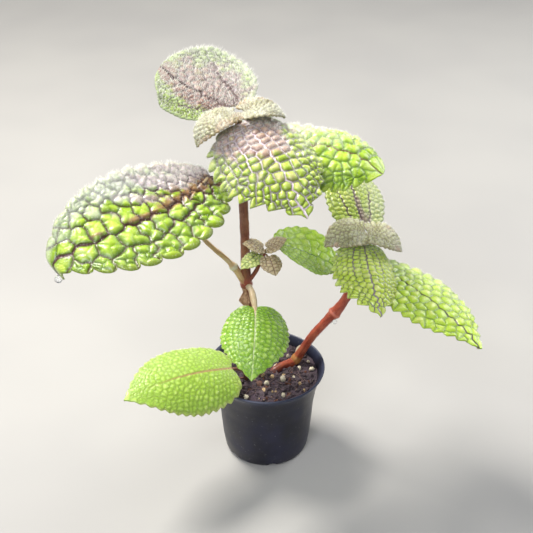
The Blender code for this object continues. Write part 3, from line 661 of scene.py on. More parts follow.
class Paint:
    """One node material. Each method gives the socket that carries its result."""

    def __init__(self, name):
        self.material = bpy.data.materials.new(name)
        self.material.use_nodes = True
        self.nodes = self.material.node_tree.nodes
        self.links = self.material.node_tree.links
        self.shader = self.nodes["Principled BSDF"]
        self.place = self.nodes.new("ShaderNodeTexCoord").outputs["Object"]

    def put(self, socket, value):
        if isinstance(value, bpy.types.NodeSocket):
            self.links.new(value, socket)
        else:
            socket.default_value = linear(value) if isinstance(value, str) else value

    def number(self, attribute):
        node = self.nodes.new("ShaderNodeAttribute")
        node.attribute_type = "GEOMETRY"
        node.attribute_name = attribute
        return node.outputs["Fac"]

    def math(self, operation, a, b=0.0, clamp=False):
        node = self.nodes.new("ShaderNodeMath")
        node.operation = operation
        node.use_clamp = clamp
        self.put(node.inputs[0], a)
        self.put(node.inputs[1], b)
        return node.outputs[0]

    def times(self, a, b):
        return self.math("MULTIPLY", a, b)

    def plus(self, a, b, clamp=False):
        return self.math("ADD", a, b, clamp)

    def minus(self, a, b):
        return self.math("SUBTRACT", a, b)

    def between(self, value, low, high, to_low=0.0, to_high=1.0):
        node = self.nodes.new("ShaderNodeMapRange")
        node.interpolation_type = "SMOOTHSTEP"
        for socket, number in zip(node.inputs[:5], (value, low, high, to_low, to_high)):
            self.put(socket, number)
        return node.outputs[0]

    def mix(self, share, a, b):
        node = self.nodes.new("ShaderNodeMix")
        node.data_type = "RGBA"
        self.put(node.inputs[0], share)
        self.put(node.inputs[6], a)
        self.put(node.inputs[7], b)
        return node.outputs[2]

    def noise(self, size_mm, detail=3.0, rough=0.55, distortion=0.0, place=None):
        node = self.nodes.new("ShaderNodeTexNoise")
        self.put(node.inputs["Vector"], place or self.place)
        node.inputs["Scale"].default_value = 1000.0 / size_mm if place is None else 1.0 / size_mm
        node.inputs["Detail"].default_value = detail
        node.inputs["Roughness"].default_value = rough
        node.inputs["Distortion"].default_value = distortion
        return node.outputs["Fac"]

    def cells(self, size_mm):
        node = self.nodes.new("ShaderNodeTexVoronoi")
        self.put(node.inputs["Vector"], self.place)
        node.inputs["Scale"].default_value = 1000.0 / size_mm
        return node.outputs["Distance"]

    def vector(self, x, y, z):
        node = self.nodes.new("ShaderNodeCombineXYZ")
        for socket, value in zip(node.inputs, (x, y, z)):
            self.put(socket, value)
        return node.outputs[0]

    def bump(self, height, strength, depth_mm):
        node = self.nodes.new("ShaderNodeBump")
        node.inputs["Strength"].default_value = strength
        node.inputs["Distance"].default_value = depth_mm * MM
        self.put(node.inputs["Height"], height)
        return node.outputs["Normal"]

    def finish(self, colour, roughness, normal=None, **fixed):
        self.put(self.shader.inputs["Base Color"], colour)
        self.put(self.shader.inputs["Roughness"], roughness)
        if normal is not None:
            self.put(self.shader.inputs["Normal"], normal)
        for key, value in fixed.items():
            self.put(self.shader.inputs[key.replace("_", " ")], value)
        return self.material


LEAF_NUMBERS = ("height", "vein", "row", "groove", "bronze", "haze", "under", "edge", "tone")
# The lighter colours for the cells' tops, on green and on bronze, are painted highlights; low is the darker
# green of patches and, as painted shade, of the furrows.
COLOUR_NAMES = ("low", "cell", "top", "bronze", "bronze_painted_highlight", "haze", "edge", "vein")
LOOK_DEFAULTS = dict(spread=1.0, deep=0.45, even=0.65, shown=0.35, coat=0.22)


def palette(colours, **strengths):
    """A leaf's eight colours, in the order of COLOUR_NAMES, and how strongly each thing shows."""
    return {**LOOK_DEFAULTS, **dict(zip(COLOUR_NAMES, colours.split())), **strengths}


LOOKS = {
    "big": palette(
        "53720d 9fc326 d9ea68 74482c a8884e f8f2fa bbc634 4e2a20",
        vein_share=0.95, rows=1.2, hazed=0.8, even=0.78, gloss=0.2, coat=0.4),
    "back": palette(
        "47521a 87a232 a9c05a 4a2a24 8c6048 f0f0f6 c4d0b0 40201c",
        vein_share=1.0, rows=0.45, shown=0.95, hazed=0.4, gloss=0.45),
    "young": palette(
        "67654a 9f9a6e d3d7be 7d5a30 a98a5c e8eadc 94752f 76624a",
        vein_share=0.7, rows=0.5, hazed=0.5, gloss=0.45),
    "front": palette(
        "525d16 abca34 eaf088 6a3e2c caa68a eee8ee b8cd3d d6c6d0",
        shown=0.8, vein_share=0.9, rows=0.7, hazed=0.5, gloss=0.22, deep=0.6, coat=0.5),
    "right": palette(
        "6b9417 abcd29 d8ec68 7e5232 ad8a58 f0f6dc bad341 7c5a3a",
        vein_share=0.75, rows=0.25, hazed=0.85, gloss=0.2, coat=0.4),
    "plain": palette(
        "84a832 a0c43c cbe36c 6b5a2c 8f8046 d5e2bc 94b534 567a28",
        vein_share=0.7, rows=0.15, hazed=0.3, gloss=0.22, coat=0.45, spread=0.6),
    "bud_green": palette(
        "8ea044 b7cb5f ebe690 7a6a3c a29062 d5dec4 a2ad53 5c6c34",
        vein_share=0.5, rows=0.3, hazed=0.45, gloss=0.4),
    "bud": palette(
        "7c6c44 b0a070 d6cba0 9a8056 cdb98e dcd8c4 8a6a40 74583f",
        vein_share=0.4, rows=0.2, hazed=0.6, gloss=0.42),
    "side_back": palette(
        "6c8434 a3b946 c8cc6a 664a3a 97806a e8eadc 97a941 4a3436",
        shown=0.8, vein_share=0.95, rows=0.4, hazed=0.6, gloss=0.26, coat=0.45, spread=0.65),
    "silver": palette(
        "6e6c40 a2a468 dcdcb4 8c623a bb9670 ece5d8 8c6840 7c6858",
        vein_share=0.7, rows=0.5, hazed=0.38, gloss=0.45),
    "side_front": palette(
        "708a2c cee64e f6f8a4 66503f c4b49c f2f4ea b8cd4c 8a7c84",
        vein_share=0.85, rows=0.4, hazed=0.5, gloss=0.24, deep=0.5, coat=0.5, spread=0.6),
    "low_right": palette(
        "7ca022 c0e040 ecf686 6a5a34 948458 eff5de b6cd44 4e4a35",
        vein_share=0.85, rows=0.25, hazed=0.65, gloss=0.2, coat=0.45, spread=0.6),
    "low_front": palette(
        "64941c 8ab82c c4e270 4c6c20 7c9c40 eef6dc a9c24a c3cf94",
        vein_share=0.7, rows=0.1, hazed=0.5, gloss=0.17, coat=0.35, spread=0.75),
    "low_left": palette(
        "8cb03c a4ca46 cce47a 80623a a3885c eef4d8 c9b48a a68a58",
        vein_share=0.55, rows=0.15, hazed=0.4, gloss=0.32),
}


def cell_green(p, c, f, patch):
    """The cells' green: darker in the furrows as painted shade, with a painted highlight of a lighter colour
    on the tops, and uneven over the blade.
    """
    spread = c["spread"]
    # Painted shade: the cells darken to the low green down towards their furrows.
    green = p.mix(p.between(f["height"], 0.15 * spread, 0.8 * spread), c["low"], c["cell"])
    high = p.plus(f["height"], p.times(f["tone"], 0.25))
    # Painted highlight: the cells' tops lighten to the top colour.
    green = p.mix(p.between(high, 0.7, 1.25, 0.0, 0.7), green, c["top"])
    return p.mix(p.between(patch, 0.35, 0.75, 0.0, 0.3), green, c["low"])


def bronzed(p, c, f, colour, fine):
    """Brown where the leaf is bronze, with a painted highlight on its cells' tops and a ragged border."""
    # Painted highlight: the bronze cells lighten towards their tops.
    brown = p.mix(p.between(f["height"], 0.25, 0.95), c["bronze"], c["bronze_painted_highlight"])
    brown = p.mix(p.between(fine, 0.4, 0.7, 0.0, 0.45), brown, c["bronze"])
    ragged = p.plus(f["bronze"], p.times(p.minus(fine, 0.5), 0.5))
    return p.mix(p.between(ragged, 0.2, 0.75), colour, brown)


def veined(p, c, f, colour):
    """Grooves between rows take some of the nerves' colour, and the nerves most of it. The furrows round each
    cell are darkened as painted shade.
    """
    lines = p.times(p.between(f["row"], 0.1, 0.8), c["rows"])
    lines = p.times(lines, p.minus(p.plus(0.6, f["bronze"]), p.times(f["haze"], 0.5)))
    lines = p.math("MAXIMUM", lines, p.times(p.between(f["vein"], 0.15, 0.75), c["vein_share"]))
    # Painted shade: the furrows round each cell darken to the low green.
    colour = p.mix(p.times(p.between(f["groove"], 0.55, 1.0), c["deep"]), colour, c["low"])
    return p.mix(p.math("MINIMUM", lines, 1.0), colour, c["vein"])


def hazed(p, c, f, colour, fine, speck):
    """The whitish haze of short hairs and a painted sheen on them, in fine specks on the raised parts; the
    nerves show through it.
    """
    # The haze, partly a painted sheen, is strongest on the raised parts.
    dusted = p.times(f["haze"], p.between(f["height"], 0.05, 0.7, 0.65, 1.0))
    dusted = p.times(dusted, p.between(speck, 0.25, 0.6, 1.0, c["even"]))
    dusted = p.times(dusted, p.between(fine, 0.3, 0.62, c["even"] - 0.1, 1.0))
    colour = p.mix(p.times(dusted, c["hazed"]), colour, c["haze"])
    shown = p.times(p.between(f["vein"], 0.3, 0.8), p.between(f["haze"], 0.0, 1.0, 0.85, c["shown"]))
    return p.mix(shown, colour, c["vein"])


def pale_underside(p, f, colour, patch):
    """The dull green underside with brownish nerves."""
    pale = p.mix(p.between(patch, 0.3, 0.7), "8ea35c", "a9b877")
    pale = p.mix(p.between(f["vein"], 0.2, 0.9, 0.0, 0.8), pale, "b08c74")
    pale = p.mix(p.times(f["bronze"], 0.6), pale, "94604c")
    return p.mix(p.times(f["under"], 0.85), colour, pale)


def leaf_material(look):
    """Green cells between sunken veins, with painted highlights on their tops and painted shade in their
    furrows, bronzed and hazed where the leaf's own numbers say.
    """
    c = LOOKS[look]
    p = Paint(f"leaf_{look}")
    f = {key: p.number(key) for key in LEAF_NUMBERS}
    patch, fine, speck = p.noise(7.0, 2.0), p.noise(0.7, 4.0, 0.6), p.cells(0.75)
    colour = bronzed(p, c, f, cell_green(p, c, f, patch), fine)
    colour = p.mix(p.times(f["edge"], 0.35), colour, c["edge"])
    colour = hazed(p, c, f, veined(p, c, f, colour), fine, speck)
    colour = pale_underside(p, f, colour, patch)
    hairy = p.times(p.plus(f["haze"], f["under"]), 0.2)
    rough = p.plus(p.between(fine, 0.3, 0.7, c["gloss"] - 0.06, c["gloss"] + 0.12), hairy, clamp=True)
    grain = p.plus(p.times(fine, 0.8), p.times(p.noise(0.32, 2.0), 0.4))
    return p.finish(colour, rough, p.bump(grain, 0.8, 0.28), Specular_IOR_Level=0.6, Coat_Weight=c["coat"],
                    Coat_Roughness=0.16, Sheen_Weight=0.06, Sheen_Roughness=0.4, Subsurface_Weight=0.12,
                    Subsurface_Scale=0.0012, Subsurface_Radius=(0.6, 1.0, 0.2))


def stem_material(name, base, dark, light, blotch=0.5, gloss=0.38, rings=()):
    """A fleshy stalk with lengthwise streaks, small pale dots and uneven colour."""
    p = Paint(name)
    lengthwise = p.vector(p.times(p.number("ca"), 2.2), p.times(p.number("sa"), 2.2),
                          p.times(p.number("along"), 0.16))
    streak = p.noise(1.0, 4.0, 0.6, 0.3, place=lengthwise)
    patch = p.noise(6.0, 3.0)
    dots = p.cells(1.1)
    colour = p.mix(p.between(streak, 0.35, 0.7), dark, base)
    colour = p.mix(p.between(patch, 0.42, 0.7, 0.0, blotch), colour, light)
    colour = p.mix(p.between(dots, 0.12, 0.2, 0.55, 0.0), colour, light)
    for at, wide, tint in rings:
        off = p.math("ABSOLUTE", p.minus(p.number("along"), at))
        off = p.plus(off, p.times(p.minus(patch, 0.5), wide))
        colour = p.mix(p.between(off, 0.2 * wide, wide, 0.7, 0.0), colour, tint)
    fine = p.noise(0.6, 4.0)
    height = p.plus(p.times(streak, 0.7), p.times(fine, 0.4))
    return p.finish(colour, p.between(fine, 0.3, 0.7, gloss - 0.08, gloss + 0.14), p.bump(height, 0.5, 0.2),
                    Subsurface_Weight=0.1, Subsurface_Scale=0.001, Subsurface_Radius=(1.0, 0.4, 0.25))


def hair_material(name, root, tip):
    """Hairs that change colour from root to tip."""
    p = Paint(name)
    share = p.plus(p.number("share"), p.times(p.minus(p.noise(2.0, 1.0), 0.5), 0.5))
    colour = p.mix(p.between(share, 0.05, 0.8), root, tip)
    return p.finish(colour, 0.45)


def pot_material():
    """Thin dark plastic, a little dusty, with faint turning lines and a painted highlight along the rim."""
    p = Paint("pot_plastic")
    split = p.nodes.new("ShaderNodeSeparateXYZ")
    p.put(split.inputs[0], p.place)
    height = split.outputs[2]
    soft, fine = p.noise(14.0, 3.0), p.noise(0.5, 3.0)
    colour = p.mix(p.between(soft, 0.35, 0.7), "171723", "212238")
    # Painted highlight: the rim, from 41 mm up, is lighter and bluer.
    colour = p.mix(p.between(height, 0.041, 0.0465, 0.0, 0.55), colour, "3c4560")
    dust = p.times(p.between(p.noise(2.6, 4.0, 0.7), 0.56, 0.72), p.between(height, 0.0, 0.02, 0.3, 0.08))
    colour = p.mix(dust, colour, "7b7876")
    specks = p.times(p.between(p.cells(2.8), 0.07, 0.13, 1.0, 0.0), 0.5)
    colour = p.mix(specks, colour, "6b6a6c")
    rings = p.noise(1.0, 2.0, place=p.vector(0.0, 0.0, p.times(height, 900.0)))
    rough = p.between(soft, 0.3, 0.7, 0.36, 0.5)
    bumps = p.plus(p.times(rings, 0.5), p.times(fine, 0.5))
    return p.finish(colour, rough, p.bump(bumps, 0.35, 0.08), Specular_IOR_Level=0.5)


def earth_material(name, dark, mid, light, size=1.0, rough=0.9):
    """Crumbly matter, damp in places; size makes its grain finer or coarser."""
    p = Paint(name)
    coarse, fine = p.noise(2.4 * size, 5.0, 0.7), p.noise(0.45 * size, 4.0, 0.65)
    colour = p.mix(p.between(coarse, 0.35, 0.65), dark, mid)
    colour = p.mix(p.between(fine, 0.55, 0.75, 0.0, 0.6), colour, light)
    damp = p.between(coarse, 0.3, 0.6, rough - 0.3, rough)
    height = p.plus(p.times(coarse, 0.5), p.times(fine, 0.6))
    return p.finish(colour, damp, p.bump(height, 0.8, 0.35))


def water_material():
    """Clear water with a faint ripple."""
    p = Paint("water")
    ripple = p.noise(1.5, 1.0)
    colour = p.mix(p.between(ripple, 0.3, 0.7), (0.98, 0.99, 1, 1), (0.93, 0.96, 0.97, 1))
    rough = p.between(ripple, 0.3, 0.7, 0.02, 0.05)
    return p.finish(colour, rough, p.bump(ripple, 0.15, 0.05), Transmission_Weight=0.95, IOR=1.33)


# Camera, floor and light

camera = bpy.data.objects.new("camera", bpy.data.cameras.new("camera"))
bpy.context.scene.collection.objects.link(camera)
camera.location = CAMERA_AT
camera.rotation_euler = (math.radians(90 - CAMERA_DOWN_DEG), 0, 0)
camera.data.sensor_width = 36
camera.data.lens = 18 / math.tan(math.radians(CAMERA_FOV_DEG / 2))
camera.data.clip_start = 0.01
bpy.context.scene.camera = camera
bpy.context.scene.view_settings.view_transform = "Standard"


def area_light(name, at, size, watts, tint):
    """A square light that shines on the middle of the plant."""
    light = bpy.data.objects.new(name, bpy.data.lights.new(name, "AREA"))
    bpy.context.scene.collection.objects.link(light)
    light.location = at
    light.rotation_euler = (Vector(LIGHTS_AIM) - Vector(at)).to_track_quat("-Z", "Y").to_euler()
    light.data.size = size
    light.data.energy = watts
    light.data.color = linear(tint)[:3]


area_light("key", (-0.30, 0.22, 0.72), 0.26, 8.6, "fffaf2")
area_light("fill", (-0.2, -0.66, 0.66), 0.4, 4.5, "f7f8ff")
area_light("rim", (0.5, 0.35, 0.4), 0.4, 2.2, "ffffff")
world = bpy.data.worlds.new("studio")
bpy.context.scene.world = world
world.use_nodes = True
world.node_tree.nodes["Background"].inputs[0].default_value = linear("eef1f4")
world.node_tree.nodes["Background"].inputs[1].default_value = 0.3

floor_mesh = bpy.data.meshes.new("floor")
floor_corners = [(x * FLOOR_HALF, y * FLOOR_HALF, 0) for x, y in ((-1, -1), (1, -1), (1, 1), (-1, 1))]
floor_mesh.from_pydata(floor_corners, [], [(0, 1, 2, 3)])
floor = bpy.data.objects.new("floor", floor_mesh)
bpy.context.scene.collection.objects.link(floor)
paint = Paint("floor_paint")
floor_colour = paint.mix(paint.between(paint.noise(120.0, 2.0), 0.3, 0.7), "adacaa", "b3b2af")
floor_mesh.materials.append(paint.finish(floor_colour, 0.8))


# Leaves with their stalks and hairs

LEAF_SLOT = {"back": "bronze_leaf", "front": "bronze_leaf", "bud": "bronze_leaf", "young": "pale_leaf",
             "silver": "pale_leaf"}
# The stalk's base, dark and light colours, by look.
STALKS = {
    "big": ("dcbf90", "bd9a6a", "ece2c0"), "low_front": ("cdbb96", "b79d78", "e2d9bd"),
    "low_left": ("7f553b", "64402c", "a98464"), "front": ("9a7450", "7c5438", "c2a57c"),
    "right": ("9a7450", "7c5438", "c2a57c"), "back": ("8a6448", "6c4632", "b39474"),
    "low_right": ("a07850", "7f5a3c", "c4a880"),
}
# Hairs per square millimetre of leaf, how many more where it is hazy, and their length, by look.
HAIRS = {
    "big": (0.3, 2.2, 1.0), "back": (0.9, 1.7, 1.25), "young": (1.5, 2.0, 0.75), "front": (0.6, 2.2, 0.9),
    "right": (0.4, 1.8, 0.9), "plain": (0.6, 1.0, 0.6), "bud": (2.2, 1.5, 0.5), "bud_green": (2.2, 1.5, 0.5),
    "side_back": (0.6, 2.2, 0.8), "silver": (1.5, 2.1, 0.7), "side_front": (0.7, 1.8, 0.75),
    "low_right": (0.4, 1.4, 0.7), "low_front": (0.5, 1.0, 0.55), "low_left": (0.6, 1.0, 0.55),
}
materials = {look: leaf_material(look) for look in LOOKS}
stalk_materials = {look: stem_material(f"stalk_{look}", *STALKS[look]) for look in STALKS if look != "big"}
stalk_materials["big"] = stem_material("stalk_big", *STALKS["big"],
                                       rings=[(11.8, 1.5, "dfe2c8"), (2.0, 4.0, "a8684a")])
stalk_materials["other"] = stem_material("stalk_other", "94805a", "76603e", "b9a884")
leaf_hair = hair_material("leaf_hair", "dde0cc", "fbfbf7")
stem_hair = hair_material("stem_hair", "c89a80", "eeded2")


def build_stalk(name, made, rng, slot):
    """The stalk, which runs on under the blade as a tapering midrib."""
    leaf = made["leaf"]
    path = list(leaf["petiole"])
    start = path[-1][1]
    for t in MIDRIB_PLACES:
        point, normal = blade_point(leaf, made["frames"], np.array(t), np.array(0.0))
        share = min(1.0, t / MIDRIB_REACH)
        radius = start * 0.85 * (1 - share) + min(0.45, start * 0.55) * share * (1.15 - 0.75 * t)
        path.append((tuple(point - normal * (MIDRIB_UNDER + 0.25 * share)), max(radius, 0.12)))
    swell = [(0.0, 0.25 * start, 1.6)]
    if name == "leaf_big_left":
        swell.append(BIG_STALK_NODE)
    sides = THIN_STALK_SIDES if start < THIN_STALK else STALK_SIDES
    points, faces, values = tube_points(path, rng, sides, STALK_PER_MM, swell=swell)
    paint = stalk_materials.get(leaf["look"], stalk_materials["other"])
    mesh_piece(f"{name}_stalk", points, faces, paint, values, slot, [name])


def build_hairs(name, made, rng, slot):
    """Short stiff hairs, most of them where the leaf is hazy."""
    base_count, hazy_count, length = HAIRS[made["leaf"]["look"]]
    nt, nq = made["nt"], made["nq"]
    q, haze, shape, nerve = (made[k].reshape(nt, nq)[:-1, :-1] for k in ("q", "haze", "shape", "nerve"))
    top = made["top"].reshape(nt, nq, 3)
    normals = np.cross(np.diff(top, axis=0)[:, :-1], np.diff(top, axis=1)[:-1])
    area = np.linalg.norm(normals, axis=-1)
    normals /= np.maximum(area, 1e-9)[..., None]
    smooth_up = made["normal"].reshape(nt, nq, 3)[:-1, :-1]
    normals *= np.sign((normals * smooth_up).sum(-1))[..., None]
    thick_by_edge = 1 + 1.2 * smooth(np.abs(q), 0.9, 1)
    wanted = area * (base_count + hazy_count * haze) * (0.45 + 0.8 * np.clip(shape, 0, 1))
    wanted = wanted * thick_by_edge * (1 - 0.9 * nerve)
    i, j = np.argwhere(rng.random(wanted.shape) < wanted).T
    u, v = rng.random((2, len(i), 1))
    near = top[i, j] * (1 - u) + top[i + 1, j] * u
    far = top[i, j + 1] * (1 - u) + top[i + 1, j + 1] * u
    roots = near * (1 - v) + far * v
    ways = normals[i, j] * 0.75 + smooth_up[i, j] * 0.45
    lengths = length * rng.uniform(0.5, 1.35, len(i)) * (0.8 + 0.6 * haze[i, j])
    # Along the margin they stand outwards.
    outward = top[i, j] - top[i, nq // 2]
    outward /= np.maximum(np.linalg.norm(outward, axis=1), 1e-6)[:, None]
    ways = np.where(np.abs(q[i, j])[:, None] > 0.97, ways * 0.5 + outward, ways)
    thick = LONG_HAIR_RADIUS if length > 1 else SHORT_HAIR_RADIUS
    radii = thick * (0.8 + 0.4 * rng.random(len(i)))
    points, faces, values = spikes(roots - ways * 0.05, ways, lengths, radii, rng, 0.22)
    mesh_piece(f"{name}_hairs", points, faces, leaf_hair, values, slot, [name])


for index, name in enumerate(LEAVES):
    made = leaf_mesh(name, index)
    look = made["leaf"]["look"]
    slot = LEAF_SLOT.get(look, "leaf")
    rng = np.random.default_rng(HAIR_SEED + index)
    mesh_piece(f"{name}_blade", made["points"], made["faces"], materials[look], made["values"], slot, [name])
    build_stalk(name, made, rng, slot)
    build_hairs(name, made, rng, slot)


# Stems

# A path is places with the radius at each. A ring of colour is its place along the stem, its width and its
# colour, and a swelling is its place, its height and its width.
MAIN_STEM = [((-3.6, -2.5, 27), 1.8), ((-4.2, -2, 40), 2.0), ((-6.3, -0.6, 62), 1.8), ((-8.2, 1, 84), 1.8),
             ((-9.0, 1.5, 91), 2.5), ((-9.2, 1.2, 97), 2.2), ((-9.4, 1, 115), 2.05), ((-9.9, 0.5, 134), 2.0),
             ((-10.5, 0, 155), 1.8), ((-10.9, -0.2, 166), 1.6), ((-11.1, -0.4, 174), 1.1)]
BRANCH_STEM = [((0.4, -1.6, 37), 1.9), ((3.5, 1, 41.6), 1.9), ((8, 4, 42.8), 1.9), ((12.5, 7, 42.6), 2.1),
               ((15, 8, 45), 2.3), ((17, 8, 49), 2.1), ((21.5, 8, 57.2), 2.1), ((27.5, 8, 65.6), 2.1),
               ((31.5, 8, 70.6), 2.6), ((36.5, 8, 79), 2.1), ((40.5, 8, 91), 2.0), ((42.7, 8, 102), 1.8),
               ((43.6, 8.2, 110.5), 1.2)]
SIDE_SHOOT = [((-8.6, 1.2, 92.5), 1.1), ((-5.2, 0.2, 98), 0.95), ((-3.0, -1.4, 104), 0.9),
              ((-0.9, -2.6, 110), 0.7)]
STEM_SIDES, STEM_PER_MM = 28, 1.8
# Hairs grow on the part of a stem that is higher than this.
HAIRS_FROM_Z = 46


def dressed_stem(name, path, material, node, slot, seed, swell=(), hairs_per_mm=1.2, tiny=0.7):
    """A stem's skin and its short hairs."""
    rng = np.random.default_rng(seed)
    points, faces, values = tube_points(path, rng, STEM_SIDES, STEM_PER_MM, 0.045, 0.022, swell)
    mesh_piece(f"{name}_skin", points, faces, material, values, slot, [node])
    line, radius, ring, where = tube_mesh(path, STEM_SIDES, STEM_PER_MM)[:4]
    count = int(where[-1] * hairs_per_mm)
    at, turn = rng.integers(4, len(where) - 2, count), rng.integers(0, STEM_SIDES, count)
    keep = line[at][:, 2] > HAIRS_FROM_Z
    at, turn = at[keep], turn[keep]
    out = ring[at, turn]
    hairs = spikes(line[at] + out * radius[at][:, None] * 0.95, out, rng.uniform(0.3, 1.0, len(at)) * tiny,
                   np.full(len(at), STEM_HAIR_RADIUS), rng, 0.3)
    mesh_piece(f"{name}_hairs", hairs[0], hairs[1], stem_hair, hairs[2], slot, [node])


main_paint = stem_material("stem_red_brown", "8a5038", "6a3a2a", "b07c5c", 0.45,
                           rings=[(66.5, 3.5, "9a4636"), (63.0, 1.0, "c49a70"), (128.5, 1.2, "a8785a")])
# The pale pink ring at 51.4 mm, on the node where the drop hangs, is a painted highlight.
branch_paint = stem_material("branch_red", "ad5038", "8a3826", "d07c5a", 0.4, 0.33,
                             rings=[(19.5, 3.0, "b98a4c"), (5.0, 9.0, "6a3c30"), (51.4, 1.1, "cf7a66"),
                                    (90.0, 6.0, "8a5a3c")])
shoot_paint = stem_material("side_shoot_red", "8e4434", "6f3226", "b4745c", 0.4)
dressed_stem("main_stem", MAIN_STEM, main_paint, "main_stem", "stem", 41,
             swell=[(64.5, 0.35, 1.4), (67.5, 0.3, 0.9), (130.5, 0.25, 1.2), (143.0, 0.3, 1.2)])
dressed_stem("branch_stem", BRANCH_STEM, branch_paint, "branch_stem", "branch", 43,
             swell=[(19.0, 0.3, 1.4), (51.2, 0.4, 1.1), (79.0, 0.3, 1.2)])
dressed_stem("side_shoot", SIDE_SHOOT, shoot_paint, "side_shoot_stem", "stem", 47, hairs_per_mm=2.0, tiny=0.5)


# The top, left, bottom and right corners of the papery dry stipule, up to 1 mm past its solid's.
STIPULE_CORNERS = np.array([(-9.4, -2.6, 91.5), (-12.4, -3.6, 85.4), (-8.4, -3.2, 80.8), (-7.4, -2.9, 85.0)])
STIPULE_HALF_THICK = np.array([0.0, 0.22, 0.0])


def build_stipule():
    """A thin kite between the corners, wavy with folds and narrow at its ends."""
    rng = np.random.default_rng(51)
    top, left, bottom, right = STIPULE_CORNERS
    nu, nv = 28, 16
    u, v = (g.ravel() for g in np.meshgrid(np.linspace(0, 1, nu), np.linspace(-1, 1, nv), indexing="ij"))
    length = top * (1 - u)[:, None] + bottom * u[:, None]
    left, right = left - (top + bottom) / 2, right - (top + bottom) / 2
    wide = np.clip(np.minimum(u / 0.45, (1 - u) / 0.55), 0.03, 1) ** 0.85
    side = np.where((v < 0)[:, None], left * (-v)[:, None], right * v[:, None]) * wide[:, None]
    fold = 0.35 * np.sin(v * 5 + u * 3) + 0.2 * wobble(rng, u * 10, v * 6, 3)
    points = length + side + fold[:, None] * np.array([0.2, -1.0, 0.1]) * 0.6
    p = Paint("dry_stipule_paper")
    grain = p.noise(1.6, 4.0, 0.65)
    colour = p.mix(p.between(grain, 0.35, 0.65), "8c6646", "caa584")
    material = p.finish(colour, p.between(grain, 0.3, 0.7, 0.55, 0.8), p.bump(grain, 0.6, 0.2))
    points = np.concatenate([points - STIPULE_HALF_THICK, points + STIPULE_HALF_THICK])
    mesh_piece("dry_stipule_sheet", points, sheet_faces(nu, nv), material, None, "dry", ["dry_stipule"])


build_stipule()


# Pot

POT_OUTSIDE = [(18.6, 0), (19.5, 0.5), (19.9, 1.8), (20.8, 8), (21.7, 18), (22.3, 27), (23.5, 35), (25, 41),
               (26.3, 44.3), (27.4, 45), (27.5, 46), (27.1, 46.5)]
POT_WALL, POT_FLOOR, POT_LIP_INSIDE, POT_AXIS = 1.0, 1.4, 26.2, 0.02
FOOT_HOLLOW = [(16.5, 0.25), (17.2, 0.0)]
POT_SIDES, POT_STEP = 200, 0.9
NOTCHES, NOTCH_RADIUS, NOTCH_FIRST_DEG, NOTCH_SIDES = 6, 2.3, -82, 32
NOTCH_REACH = (16.6, 20.0, 24.0)


def pot_outline():
    """The pot's outline, up the outside and down the inside, in short steps and with eased corners."""
    inside = [(POT_LIP_INSIDE, 46.4), (POT_LIP_INSIDE - 0.4, 45.2)]
    inside += [(r - POT_WALL, z) for r, z in reversed(POT_OUTSIDE[3:9])]
    inside += [(POT_OUTSIDE[2][0] - POT_WALL, POT_FLOOR), (POT_AXIS, POT_FLOOR)]
    outline = np.array([(POT_AXIS, FOOT_HOLLOW[0][1])] + FOOT_HOLLOW + POT_OUTSIDE + inside, float)
    fine = []
    for a, b in zip(outline[:-1], outline[1:]):
        steps = max(1, int(np.linalg.norm(b - a) / POT_STEP))
        fine += [a + (b - a) * k / steps for k in range(steps)]
    fine = np.array(fine + [outline[-1]])
    for _ in range(2):
        fine[1:-1] = fine[1:-1] * 0.6 + (fine[:-2] + fine[2:]) * 0.2
    return fine


def notch_cutter(number):
    """A round bar that lies outwards through the foot, where one drain notch goes."""
    turn = math.radians(NOTCH_FIRST_DEG + 360 * number / NOTCHES)
    outward = np.array([math.cos(turn), math.sin(turn), 0])
    path = [(tuple(outward * r), NOTCH_RADIUS) for r in NOTCH_REACH]
    line, radius, ring = tube_mesh(path, NOTCH_SIDES, 0.5)[:3]
    bar = (line[:, None] + ring * radius[:, None, None]).reshape(-1, 3)
    ends = [tuple(range(NOTCH_SIDES - 1, -1, -1)), tuple(range(len(bar) - NOTCH_SIDES, len(bar)))]
    mesh = bpy.data.meshes.new("notch")
    mesh.from_pydata([tuple(p * MM) for p in bar], [], ring_faces(len(line), NOTCH_SIDES).tolist() + ends)
    cutter = bpy.data.objects.new("notch", mesh)
    bpy.context.scene.collection.objects.link(cutter)
    return cutter


def build_pot():
    """The pot, turned from its outline, with its drain notches cut."""
    outline = pot_outline()
    n = len(outline)
    angle = 2 * math.pi * np.arange(POT_SIDES) / POT_SIDES
    points = np.stack([outline[:, None, 0] * np.cos(angle), outline[:, None, 0] * np.sin(angle),
                       np.repeat(outline[:, None, 1], POT_SIDES, 1)], -1).reshape(-1, 3)
    faces = [ring_faces(n, POT_SIDES)]
    for ring, flip in ((0, True), (n - 1, False)):
        first = ring * POT_SIDES
        fan = np.array([(first, first + k, first + k + 1, first + k + 1) for k in range(1, POT_SIDES - 1)])
        faces.append(fan[:, [0, 2, 1, 1]] if flip else fan)
    pot = mesh_piece("pot_body", points, np.concatenate(faces), pot_material(), None, "pot", ["pot"])
    for number in range(NOTCHES):
        cutter = notch_cutter(number)
        modifier = pot.modifiers.new("notch", "BOOLEAN")
        modifier.operation, modifier.solver, modifier.object = "DIFFERENCE", "EXACT", cutter
        bpy.context.view_layer.update()
        made = bpy.data.meshes.new_from_object(pot.evaluated_get(bpy.context.evaluated_depsgraph_get()))
        pot.modifiers.clear()
        pot.data = made
        bpy.data.objects.remove(cutter)
    pot.data.shade_smooth()
    pot.data.set_sharp_from_angle(angle=math.radians(40))


build_pot()


# Potting mix

